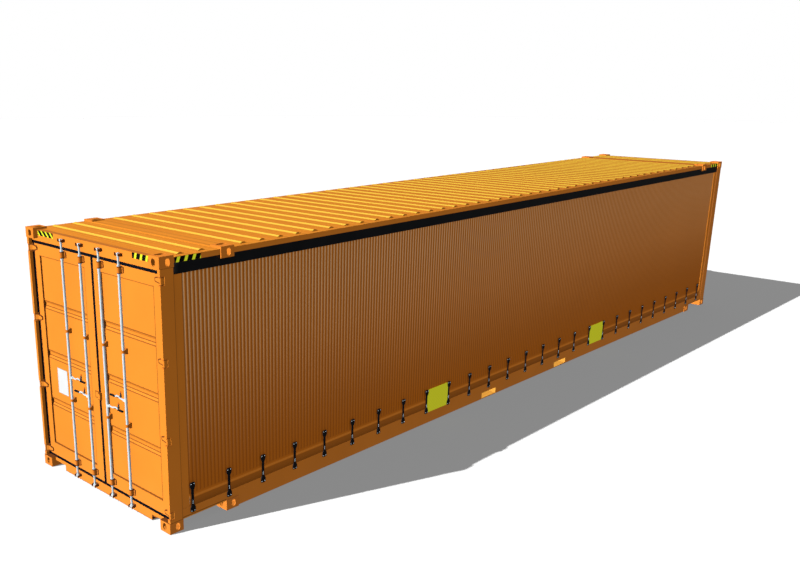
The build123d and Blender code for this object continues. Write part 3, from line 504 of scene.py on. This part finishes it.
# The roof is darker from the doors towards the front end.
far_darkening = roof_paint.place("X").between(*DARKENING_SPAN) * DARKENING_SHARE
lengthways = roof_paint.place("X").size()
first_rib = (lengthways > END_SHEETS) * (END_RIB_FIRST - RIB_FIRST) + RIB_FIRST
off_rib = lengthways.from_nearest(first_rib, RIB_PITCH).size()
# Painted highlight: the slopes of the ribs are painted yellow.
lit_slopes = roof_paint.tilt("X").size().between(*SLOPE_TILT) * (1 - off_rib.between(*SLOPE_REACH))
roof_paint.coat(roof_paint.blend(streaks * STREAK_SHARE, ROOF_ORANGE, STREAK_ORANGE))
roof_paint.layer(far_darkening, FAR_END_ORANGE)
# Painted shade line at the foot of each rib.
roof_paint.layer(off_rib.along(RIB_FOOT, half=FOOT_LINE) * FOOT_SHADE_SHARE, FOOT_SHADE_BROWN)
roof_paint.layer(lit_slopes, roof_paint.blend(far_darkening, SLOPE_HIGHLIGHT_YELLOW, FAR_SLOPE_HIGHLIGHT_YELLOW))
roof_paint.set("Roughness", streaks * 0.1 + 0.5)
roof_paint.set("Normal", roof_paint.raise_by(roof_paint.noise(PEEL_SCALE), PEEL_DEPTH))
roof_paint.dress("roof_panel", "roof_bands")

# The deck: hardwood planks laid lengthways with tarred joints between them, screwed to the
# cross-members. The grain runs along each plank.
PLANK_WIDTH = 0.14
PLANK_LIGHT = (0.33, 0.19, 0.09)
PLANK_DARK = (0.19, 0.10, 0.045)
JOINT_DARK = (0.03, 0.02, 0.015)
JOINT_SHARE = 0.03
JOINT_DEPTH = 0.003
GRAIN_DEPTH = 0.0006

deck_wood = Finish("deck_wood", 0.65)
joint = ((deck_wood.place("Y") / PLANK_WIDTH).fraction() - 0.5).size() > (0.5 - JOINT_SHARE)
grain = deck_wood.noise(9, 5, stretch=(0.35, 9, 9)).between(0.3, 0.7)
deck_wood.coat(deck_wood.blend(grain, PLANK_LIGHT, PLANK_DARK))
deck_wood.layer(joint, JOINT_DARK)
deck_wood.set("Normal", deck_wood.raise_by(grain, GRAIN_DEPTH, deck_wood.raise_by(1 - joint, JOINT_DEPTH)))
deck_wood.dress("floor")

# The curtains: coated cloth in upright flutes 50 mm apart, deepest at the head, with a hem pocket along
# the foot that holds a steel rod. They hang from a track and the straps hold them taut. A painted sheen
# makes the cloth lighter with height, less so towards the front end, and a painted highlight greys one
# flank of each flute, most of all high up and near the doors. Painted shade darkens the flute valleys and
# the hem below its shoulder, which has a painted highlight line. Faint darker blotches vary the tone.
CLOTH_LOW = (0.77, 0.210, 0.014)
CLOTH_HIGH_SHEEN = (0.92, 0.280, 0.024)
CLOTH_VALLEY_SHADE = (0.50, 0.125, 0.010)
CLOTH_FLANK_HIGHLIGHT = (0.80, 0.53, 0.29)
CLOTH_BLOTCH_AND_SHADE = (0.58, 0.170, 0.016)
CLOTH_SHOULDER_HIGHLIGHT = (0.98, 0.31, 0.035)
SHEEN_LEVELS = (0.45, 2.4)
BLOTCH_SCALE = 1.1
BLOTCH_SHARE = 0.15
SHEEN_FADE_SPAN = (-4, 5)
SHEEN_FADE_SHARE = 0.15
VALLEY_PHASE = 0.45
VALLEY_REACH = (0.05, 0.25)
VALLEY_SHADE_SHARE = 0.8
FLANK_HIGHLIGHT_START = (0.52, 0.66)
FLANK_HIGHLIGHT_END = (0.80, 0.94)
FLANK_HIGHLIGHT_SHARE = 0.8
FLANK_HIGHLIGHT_SPAN = (-6, 3)
FLANK_HIGHLIGHT_LOSS = 0.45
WEAVE_SCALE = 900
WEAVE_DEPTH = 0.00004

FLUTE_PITCH = 0.050
FLUTE_START = -6.548
FLUTE_DEPTH_HEAD = 0.0085
FLUTE_DEPTH_FOOT = 0.0040
FLUTE_FULL_LEVEL = 1.5
FLUTE_STEPS = 10
FLUTE_FADE = 0.02
PLAIN_END = 0.01
HEM_LEVEL = 0.345
HEM_SHOULDER = 0.308
HEM_FOLD = 0.004
HEM_DRAW = 0.01
HEM_BULGE = 0.0135
HEM_ROLL = 0.0005
SHOULDER_HALF = 0.016
PLAIN_LEVEL = 0.6
PLAIN_ROWS = 5
HEAD_ROW = 0.006
CLOTH_THICKNESS = 0.001
CLOTH_CLEAR = 0.0005

curtain_cloth = Finish("curtain_cloth", 0.55, Specular_IOR_Level=0.05)
lengthways, height = curtain_cloth.place("X"), curtain_cloth.place("Z")
phase = ((lengthways - FLUTE_START) / FLUTE_PITCH).fraction()
# Painted sheen: the cloth is painted lighter with height.
sheen_rise = height.between(*SHEEN_LEVELS)
on_flutes = height.between(HEM_LEVEL, HEM_LEVEL + FLUTE_FADE)
# Painted shade in the valleys of the flutes.
valley_shade = (1 - (phase - VALLEY_PHASE).size().between(*VALLEY_REACH)) * on_flutes
# Painted highlight on one flank of each flute, strongest high up and near the doors.
flank_highlight = phase.between(*FLANK_HIGHLIGHT_START) * (1 - phase.between(*FLANK_HIGHLIGHT_END)) * sheen_rise
flank_highlight = flank_highlight * (1 - lengthways.between(*FLANK_HIGHLIGHT_SPAN) * FLANK_HIGHLIGHT_LOSS)
# Painted shade on the hem below its shoulder, and a painted highlight line along the shoulder. The same dark
# brown also serves the blotches.
hem_shade = 1 - height.between(HEM_SHOULDER - HEM_FOLD, HEM_SHOULDER + HEM_FOLD)
shoulder = height.along((HEM_SHOULDER + HEM_LEVEL) / 2 - HEM_FOLD, half=SHOULDER_HALF)
curtain_cloth.coat(curtain_cloth.blend(sheen_rise, CLOTH_LOW, CLOTH_HIGH_SHEEN))
curtain_cloth.layer(curtain_cloth.noise(BLOTCH_SCALE, 3).between(0.3, 0.7) * BLOTCH_SHARE, CLOTH_BLOTCH_AND_SHADE)
# The painted sheen is weaker towards the front end.
curtain_cloth.layer(lengthways.between(*SHEEN_FADE_SPAN) * sheen_rise * SHEEN_FADE_SHARE, CLOTH_BLOTCH_AND_SHADE)
curtain_cloth.layer(valley_shade * VALLEY_SHADE_SHARE, CLOTH_VALLEY_SHADE)
curtain_cloth.layer(flank_highlight * FLANK_HIGHLIGHT_SHARE, CLOTH_FLANK_HIGHLIGHT)
curtain_cloth.layer(hem_shade, CLOTH_BLOTCH_AND_SHADE)
curtain_cloth.layer(shoulder, CLOTH_SHOULDER_HIGHLIGHT)
weave = (lengthways * WEAVE_SCALE).sine() * (height * WEAVE_SCALE).sine()
curtain_cloth.set("Normal", curtain_cloth.raise_by(weave, WEAVE_DEPTH))


def grid_faces(rows, columns, flip=False):
    """Quads over a grid whose point (row, column) has the number row * columns + column."""
    row, column = np.meshgrid(np.arange(rows - 1), np.arange(columns - 1), indexing="ij")
    first = row * columns + column
    quads = np.stack([first, first + 1, first + columns + 1, first + columns], axis=-1).reshape(-1, 4)
    return quads[:, ::-1] if flip else quads


def piece(name, points, faces, finish, body="root", replaces=(), smooth=False):
    """A piece of the container from its points and faces, in a finish and on its body."""
    mesh = bpy.data.meshes.new(name)
    mesh.from_pydata(np.reshape(points, (-1, 3)), [], faces)
    mesh.polygons.foreach_set("use_smooth", np.full(len(mesh.polygons), smooth))
    mesh.materials.append(finish.material)
    made = bpy.data.objects.new(name, mesh)
    scene.collection.objects.link(made)
    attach(made, body)
    if replaces:
        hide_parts(*replaces)
    return made


def thicken(made, thickness):
    """Give a sheet its thickness, inwards from the modelled face."""
    wall = made.modifiers.new("thickness", "SOLIDIFY")
    wall.thickness = thickness
    wall.offset = -1


def fluted(side, low, high):
    """Curtain surface over (level, length): a raised cosine flute across the length, deeper with height and
    faded to nothing at the hem, where the pocket bulges in a straight shoulder and draws in to its foot.
    A row close under the head keeps the rim's shading off the cloth below it."""
    steps = int(round((high.x - low.x) / FLUTE_PITCH * FLUTE_STEPS))
    along = np.linspace(low.x, high.x, steps + 1)
    hem_levels = [low.z, HEM_SHOULDER - HEM_FOLD, HEM_SHOULDER, HEM_LEVEL, HEM_LEVEL + HEM_DRAW]
    hem_bulges = [0.95 * HEM_BULGE, HEM_BULGE - HEM_ROLL, HEM_BULGE, 0.2 * HEM_BULGE, 0]
    plain = np.linspace(PLAIN_LEVEL, high.z - HEAD_ROW, PLAIN_ROWS)
    level = np.concatenate([hem_levels, [HEM_LEVEL + FLUTE_FADE], plain, [high.z]])
    flute = 0.5 + 0.5 * np.cos(2 * pi * (along - FLUTE_START) / FLUTE_PITCH)
    ends = np.clip((high.x - np.abs(along) - PLAIN_END) / FLUTE_FADE, 0, 1)
    fade = np.clip((level - HEM_LEVEL) / FLUTE_FADE, 0, 1)
    depth = np.interp(level, [HEM_LEVEL, FLUTE_FULL_LEVEL], [FLUTE_DEPTH_FOOT, FLUTE_DEPTH_HEAD]) * fade
    ground = min(abs(low.y), abs(high.y)) + CLOTH_THICKNESS + CLOTH_CLEAR
    bulge = np.interp(level, hem_levels, hem_bulges)
    out = ground + bulge[:, None] + depth[:, None] * (flute * ends)[None, :]
    x, z = np.meshgrid(along, level)
    return np.stack([x, side * out, z], axis=-1)


for side, name in ((1, "left"), (-1, "right")):
    points = fluted(side, *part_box(f"curtain_{name}"))
    made = piece(f"cloth_curtain_{name}", points, grid_faces(*points.shape[:2], flip=side > 0), curtain_cloth,
                 replaces=[f"curtain_{name}"], smooth=True)
    thicken(made, CLOTH_THICKNESS)

# The flaps over the curtains' heads: black coated cloth clamped under the top rail, hanging just
# past the track, cut short under the blocks at the 40-foot positions.
FLAP_BLACK = (0.007, 0.0075, 0.009)
FLAP_WAVE = 0.0008
FLAP_PITCH = 0.62
FLAP_STEP = 0.1
FLAP_ROWS = 6
FLAP_NOTCH = 1e-4
FLAP_THICKNESS = 0.0012
BLOCK_LENGTH = 0.178
BLOCK_GAP = 0.0003

black_flap = Finish("black_flap", 0.6, Specular_IOR_Level=0.15)
black_flap.coat(black_flap.toned(FLAP_BLACK, 0.2, 6))
black_flap.set("Normal", black_flap.raise_by(black_flap.noise(300), 0.0003))


def hung(side, low, high, block_low, gaps):
    """Flap surface over (drop, length): flat, with a slight wave that grows from nothing at the head to
    its full depth at the free edge; the head is lower wherever the length lies in one of the gaps."""
    edges = np.ravel(gaps)
    regular = np.arange(low.x, high.x, FLAP_STEP)
    along = np.unique(np.concatenate([regular, [high.x], edges, edges + FLAP_NOTCH, edges - FLAP_NOTCH]))
    along = along[(along >= low.x) & (along <= high.x)]
    head = np.full_like(along, high.z)
    for start, end in gaps:
        head[(along >= start) & (along <= end)] = block_low
    drop = np.linspace(0, 1, FLAP_ROWS)
    z = low.z + (head[None, :] - low.z) * drop[:, None]
    wave = FLAP_WAVE * (1 - drop[:, None]) * np.sin(2 * pi * along / FLAP_PITCH)[None, :]
    out = max(abs(low.y), abs(high.y)) - FLAP_WAVE + wave
    return np.stack([np.broadcast_to(along, z.shape), side * out, z], axis=-1)


forty_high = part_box("forty_foot_castings")[1]
block_low = forty_high.z - BLOCK_HEIGHT - BLOCK_GAP
block_ends = (forty_high.x - BLOCK_LENGTH - BLOCK_GAP, forty_high.x + BLOCK_GAP)
gaps = [sorted(end * x for x in block_ends) for end in (-1, 1)]
for side, name in ((1, "left"), (-1, "right")):
    points = hung(side, *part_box(f"pelmet_{name}"), block_low, gaps)
    made = piece(f"head_flap_{name}", points, grid_faces(*points.shape[:2], flip=side > 0), black_flap,
                 replaces=[f"pelmet_{name}"], smooth=True)
    thicken(made, FLAP_THICKNESS)

# The curtain straps: black webbing between two riveted steel plates, the upper one on the curtain and
# the lower one on the bottom rail, with a small grey lever on the web that draws it tight.
WEBBING = (0.006, 0.007, 0.010)
LEVER_GREY = (0.42, 0.48, 0.54)
RIVET_GREY = (0.80, 0.88, 0.95)
TWILL_SCALE = 1500
TWILL_DEPTH = 0.00015
STRAP_COUNT = 27
PLATE_HALF = 0.033
RIVET_RADIUS = 0.006
RIVET_RISE = 0.0035
RIVET_SPACING = 0.040
RIVET_FOOT = 0.016
RIVET_HEAD = 0.018
LEVER_LEVEL = 0.262
LEVER_LENGTH = 0.040
LEVER_WIDTH = 0.010
LEVER_DEPTH = 0.006
LEVER_EDGE = 0.002
WEB_DROP = 0.005

webbing = Finish("webbing", 0.6, Specular_IOR_Level=0.15)
webbing.coat(webbing.toned(WEBBING, 0.3, 20))
twill = (webbing.place("X") + webbing.place("Z")) * TWILL_SCALE
webbing.set("Normal", webbing.raise_by(twill.sine(), TWILL_DEPTH))
webbing.dress("straps_left", "straps_right")


def steel(name, colour, roughness, metallic):
    """Plated steel: fine brushed mottle in its gloss and a faint tone."""
    finish = Finish(name, roughness, metallic)
    finish.coat(finish.toned(colour, 0.08, 20))
    finish.set("Roughness", finish.noise(60, 3).between(0.2, 0.8) * 0.2 + (roughness - 0.1))
    return finish


def dome_head(radius, rise, sides=10, rings=3):
    """Rivet head over (turn, arc): a quarter ellipse of the given radius and rise turned about Z."""
    arc = np.linspace(0, pi / 2, rings + 1)[:-1]
    turn = np.arange(sides) * 2 * pi / sides
    ring = np.stack([np.outer(np.cos(arc), np.cos(turn)) * radius,
                     np.outer(np.cos(arc), np.sin(turn)) * radius,
                     np.outer(np.sin(arc), np.ones(sides)) * rise], axis=-1).reshape(-1, 3)
    k = np.arange(sides)
    following = (k + 1) % sides
    first = np.arange(rings - 1)[:, None] * sides
    walls = np.stack([first + k, first + following, first + following + sides, first + k + sides], axis=-1)
    faces = [tuple(face) for face in walls.reshape(-1, 4).tolist()]
    last = (rings - 1) * sides
    faces += [(last + a, last + b, rings * sides) for a, b in zip(k.tolist(), following.tolist())]
    faces.append(tuple(range(sides))[::-1])
    return np.vstack([ring, [(0, 0, rise)]]), faces


def facing(points, towards):
    """Turn a shape that was made on +Z so that it faces another way."""
    spin = np.array(Vector(towards).to_track_quat("Z", "Y").to_matrix())
    return points @ spin.T


def brick(x, y, z):
    """The eight corners and six outward faces of a block between two ends along each axis."""
    points = np.array([(a, b, c) for c in sorted(z) for b in sorted(y) for a in sorted(x)], float)
    faces = [(0, 2, 3, 1), (4, 5, 7, 6), (0, 1, 5, 4), (2, 6, 7, 3), (0, 4, 6, 2), (1, 3, 7, 5)]
    return points, faces


def joined(shapes):
    """Several shapes, each as its points and faces, as one set of points and faces."""
    points, faces, count = [], [], 0
    for shape_points, shape_faces in shapes:
        faces += [tuple(index + count for index in face) for face in shape_faces]
        points.append(shape_points)
        count += len(shape_points)
    return np.concatenate(points), faces


def copies(points, faces, places):
    """The same shape at many places, as one set of points and faces."""
    return joined([(points + np.array(place, float), faces) for place in places])


def soften(made, width):
    """Round a piece's edges."""
    edge = made.modifiers.new("edge", "BEVEL")
    edge.width = width
    edge.segments = 2


rivet_steel = steel("rivet_steel", RIVET_GREY, 0.35, 0.3)
lever_steel = steel("lever_steel", LEVER_GREY, 0.35, 0.2)
strap_low, strap_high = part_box("straps_left")
strap_places = np.linspace(strap_low.x + PLATE_HALF, strap_high.x - PLATE_HALF, STRAP_COUNT)
for side, name in ((1, "left"), (-1, "right")):
    rivets = [(x + dx, side * strap_high.y, z)
              for x in strap_places for dx in (-RIVET_SPACING / 2, RIVET_SPACING / 2)
              for z in (strap_low.z + RIVET_FOOT, strap_high.z - RIVET_HEAD)]
    points, faces = dome_head(RIVET_RADIUS, RIVET_RISE)
    points, faces = copies(facing(points, (0, side, 0)), faces, rivets)
    made = piece(f"strap_rivets_{name}", points, faces, rivet_steel, smooth=True)
    web = side * (strap_high.y - WEB_DROP)
    points, faces = brick((-LEVER_WIDTH / 2, LEVER_WIDTH / 2), (web, web + side * LEVER_DEPTH),
                          (-LEVER_LENGTH / 2, LEVER_LENGTH / 2))
    points, faces = copies(points, faces, [(x, 0, LEVER_LEVEL) for x in strap_places])
    made = piece(f"strap_levers_{name}", points, faces, lever_steel)
    soften(made, LEVER_EDGE)

# The locking bars and their handles: galvanised steel, pale and a little blue. The retainers that carry
# the handles are dark steel brackets on the door sheet, with the tops of their tongues sprayed orange.
ZINC = (0.76, 0.88, 0.98)
RETAINER_GREY = (0.05, 0.06, 0.08)
HANDLE_LEVELS = (1.272, 1.130)
TONGUE_PAINTED = 0.040
TONGUE_END = 0.070

zinc_steel = steel("zinc_steel", ZINC, 0.34, 0.05)
zinc_steel.dress(*[name for name in nodes
                   if name.startswith(("locking_bar_", "handle_")) and "retainers" not in name])
dark_steel = steel("dark_steel", RETAINER_GREY, 0.4, 0.3)
above, above_lower = (dark_steel.place("Z") - handle_level for handle_level in HANDLE_LEVELS)
painted = (above > TONGUE_PAINTED).most((above_lower > TONGUE_PAINTED) * (above_lower < TONGUE_END))
dark_steel.coat(dark_steel.blend(painted, RETAINER_GREY, ORANGE))
dark_steel.dress("handle_retainers_left", "handle_retainers_right")

# The ends of the locking bars: each cam ends in a forged ball with a turned brown pin through it,
# between the two claws of its keeper on the frame, whose tips are bent and dark brown.
BAR_LINE = -6.833
BAR_PLACES = (0.18, 0.54)
BALL_LEVELS = (0.060, 2.826)
BALL_RADIUS = 0.0245
BALL_RISE = 0.015
CAM_PIN_RADIUS = 0.009
CAM_PIN_SINK = 0.001
CAM_PIN_RISE = 0.002
CLAW_START = -6.8465
CLAW_END = -6.8578
CLAW_SIDES = (0.027, 0.035)
CLAW_HALF = 0.017
CLAW_EDGE = 0.002
PIN_BROWN = (0.22, 0.07, 0.025)
KEEPER_BROWN = (0.26, 0.072, 0.016)

pin_brown = Finish("pin_brown", 0.7)
pin_brown.coat(pin_brown.toned(PIN_BROWN, 0.3, 60))
keeper_paint = paint("keeper_paint", KEEPER_BROWN, 0.5)
keeper_paint.dress("cam_keepers")
ball_points, ball_faces = dome_head(BALL_RADIUS, BALL_RISE, sides=20, rings=5)
pin_points, pin_faces = dome_head(CAM_PIN_RADIUS, CAM_PIN_RISE)
claws = []
for name in nodes:
    if name.startswith("locking_bar_"):
        place = name.removeprefix("locking_bar_")
        middle = BAR_PLACES["outer" in place] * (1 if "left" in place else -1)
        balls = [(facing(ball_points, (0, 0, up)) + (BAR_LINE, middle, level), ball_faces)
                 for level in BALL_LEVELS for up in (1, -1)]
        made = piece(f"cam_balls_{place}", *joined(balls), zinc_steel, body=f"bar_{place}", smooth=True)
        pins = [(BAR_LINE - BALL_RADIUS + CAM_PIN_SINK, middle, level) for level in BALL_LEVELS]
        points, faces = copies(facing(pin_points, (-1, 0, 0)), pin_faces, pins)
        made = piece(f"cam_pins_{place}", points, faces, pin_brown, body=f"bar_{place}", smooth=True)
        claws += [brick((CLAW_END, CLAW_START), [middle + side * reach for reach in CLAW_SIDES],
                        (level - CLAW_HALF, level + CLAW_HALF))
                  for level in BALL_LEVELS for side in (1, -1)]
made = piece("keeper_tips", *joined(claws), keeper_paint)
soften(made, CLAW_EDGE)

# The guides of the locking bars: box brackets at the bars' ends and rings between them, welded to the
# leaf and sprayed with it. Painted shade outlines ring the ears of the box brackets.
GUIDE_ORANGE = (0.80, 0.23, 0.026)
GUIDE_LEVELS = (0.224, 2.664)
EAR_HALF = 0.044
GUIDE_HALF = 0.037
GUIDE_MARGIN = 0.001
GUIDE_SHADE = 0.9

guide_paint = paint("guide_paint", GUIDE_ORANGE, 0.4)
# Painted shade outline round the ears of the box brackets.
off_bar = guide_paint.place("Y").size().off(*BAR_PLACES)
off_level = guide_paint.place("Z").off(*GUIDE_LEVELS)
rim = off_bar.between(EAR_HALF - RIM_WIDTH, EAR_HALF - RIM_WIDTH / 2)
rim = rim.most(off_level.between(GUIDE_HALF - RIM_WIDTH, GUIDE_HALF - RIM_WIDTH / 2))
guide_paint.paint_shade(rim * (off_level < GUIDE_HALF + GUIDE_MARGIN), GUIDE_SHADE)
guide_paint.dress("bar_guides_left", "bar_guides_right")

# The safety film: yellow-green film with a painted glow of its own, which lights it without any lamp.
# Boards of it hang behind two pairs of straps on each side, and strips with slanted black bars are stuck
# on the headers and the top rails.
FILM = (0.60, 0.66, 0.022)
BOARD_FILM = (0.60, 0.60, 0.021)
FILM_BLACK = (0.006, 0.006, 0.006)
STRIP_GLOW = 0.50
BOARD_GLOW = 0.40
CELL_PITCH = 0.045
CELL_EDGE = 0.12
CELL_SHARE = 0.3
BAR_SHARE = 0.62
STRIP_RISE = 0.0006
STRIP_LEVELS = (2.809, 2.868)
RAIL_STRIP_LEVELS = (2.8155, 2.8685)
RAIL_STRIP_ENDS = (6.343, 6.668)
RAIL_BAR_PITCH = 0.098
RAIL_BAR_LEAN = 0.4
RAIL_BAR_START = 0.45
BOARD_BAYS = (8, 17)
BOARD_LEVELS = (0.155, 0.481)
BOARD_FACES = (0.0003, 0.0012)


def film_finish(name, colour, glow, bars=False):
    """Film with a lattice of fine cells, and where it has bars, black for most of each unit of U."""
    # Painted glow: the film gives off light of its own colour, with no lamp.
    finish = Finish(name, 0.5, Emission_Strength=glow, Specular_IOR_Level=0.02)
    across, up = finish.place("X") + finish.place("Y"), finish.place("Z")
    cells = ((across + up) / CELL_PITCH).fraction().along(0, 1, half=CELL_EDGE)
    cells = cells.most(((across - up) / CELL_PITCH).fraction().along(0, 1, half=CELL_EDGE))
    shaded = (colour[0] * 0.5, colour[1] * 0.5, colour[2])
    lit = finish.blend(cells * CELL_SHARE, colour, shaded)
    finish.set("Emission Color", lit)
    finish.coat(lit)
    if bars:
        bar = finish.across("X").fraction() < BAR_SHARE
        finish.set("Emission Color", finish.blend(bar, lit, (0, 0, 0)))
        finish.layer(bar, FILM_BLACK)
    return finish


board_film = film_finish("board_film", BOARD_FILM, BOARD_GLOW)
hazard_film = film_finish("hazard_film", FILM, STRIP_GLOW, bars=True)


def strip(name, first, way, width, levels, pitch, lean, start):
    """A strip of film on an upright face, flat from its first corner along a level way and up between two
    levels. U counts the bars' pitches, with a start, and leans by lean pitches for each pitch of height."""
    origin, way, up = (np.array(v, float) for v in ((*first, levels[0]), way, (0, 0, 1)))
    u, v = np.meshgrid([0, width], [0, levels[1] - levels[0]])
    points = origin + u[..., None] * way + v[..., None] * up + STRIP_RISE * np.cross(way, up)
    made = piece(name, points, [(0, 1, 3, 2)], hazard_film)
    corners = np.zeros(4, int)
    made.data.loops.foreach_get("vertex_index", corners)
    bars = ((u - lean * v) / pitch + start).reshape(-1)[corners]
    layer = made.data.uv_layers.new(name="film")
    layer.data.foreach_set("uv", np.stack([bars, v.reshape(-1)[corners]], -1).reshape(-1))


doors_face, front_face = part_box("door_header")[0].x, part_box("front_header")[1].x
strip("hazard_header_right", (doors_face, -0.737), (0, -1, 0), 0.27, STRIP_LEVELS, 0.094, 0.3, 0.28)
strip("hazard_header_left", (doors_face, 1.075), (0, -1, 0), 0.325, STRIP_LEVELS, 0.0925, -1, -0.62)
strip("hazard_front_right", (front_face, -1.007), (0, 1, 0), 0.27, STRIP_LEVELS, 0.094, -0.3, 0)
strip("hazard_front_left", (front_face, 0.750), (0, 1, 0), 0.325, STRIP_LEVELS, 0.0925, 1, 0)
for side, name in ((-1, "right"), (1, "left")):
    rail_low, rail_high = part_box(f"top_rail_{name}")
    face = rail_low.y if side < 0 else rail_high.y
    for end, place in ((-1, "doors"), (1, "front")):
        near, far = sorted((end * x for x in RAIL_STRIP_ENDS), reverse=side > 0)
        strip(f"hazard_rail_{name}_{place}", (near, face), (-side, 0, 0), abs(far - near), RAIL_STRIP_LEVELS,
              RAIL_BAR_PITCH, end * side * RAIL_BAR_LEAN, RAIL_BAR_START)
    boards = [brick(strap_places[bay:bay + 2], [face + side * rise for rise in BOARD_FACES], BOARD_LEVELS)
              for bay in BOARD_BAYS]
    board = piece(f"reflective_boards_{name}", *joined(boards), board_film)

# The placard on the left door: a bare white plate with a folded rim, fixed flat on the door sheet.
# A painted shade outline runs along its rim.
PLACARD = (0.82, 0.83, 0.83)
PLACARD_RIM_SHADE = (0.20, 0.16, 0.12)
PLACARD_SIDES = (0.684, 0.900)
PLACARD_LEVELS = (0.985, 1.293)
PLACARD_THICKNESS = 0.002
PLACARD_EDGE = 0.0008
PANEL_RECESS = 0.014

white_plate = Finish("white_plate", 0.3)
white_plate.coat(white_plate.toned(PLACARD, 0.03, 6))
# Painted shade outline round the placard's rim.
rim = white_plate.place("Y").along(*PLACARD_SIDES, half=SEAM)
rim = rim.most(white_plate.place("Z").along(*PLACARD_LEVELS, half=SEAM))
white_plate.layer(rim * 0.8, PLACARD_RIM_SHADE)
sheet_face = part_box("door_leaf_left")[0].x + PANEL_RECESS
points, faces = brick((sheet_face - PLACARD_THICKNESS, sheet_face), PLACARD_SIDES, PLACARD_LEVELS)
made = piece("placard", points, faces, white_plate, body="left_door")
soften(made, PLACARD_EDGE)

# The rubber parts: a gasket held round the edge of each leaf, and a round sleeve pushed on each
# handle's end. Both are matt and nearly black.
GRIP_BLACK = (0.004, 0.005, 0.009)

seal_rubber = Finish("seal_rubber", 0.7, Specular_IOR_Level=0.05)
seal_rubber.coat(seal_rubber.toned(SEAL_BLACK, 0.2, 9))
seal_rubber.dress("door_seal_left", "door_seal_right")
grip_rubber = Finish("grip_rubber", 0.6, Specular_IOR_Level=0.1)
grip_rubber.coat(grip_rubber.toned(GRIP_BLACK, 0.2, 20))
grip_rubber.dress(*[name for name in nodes if name.startswith("grip_")])
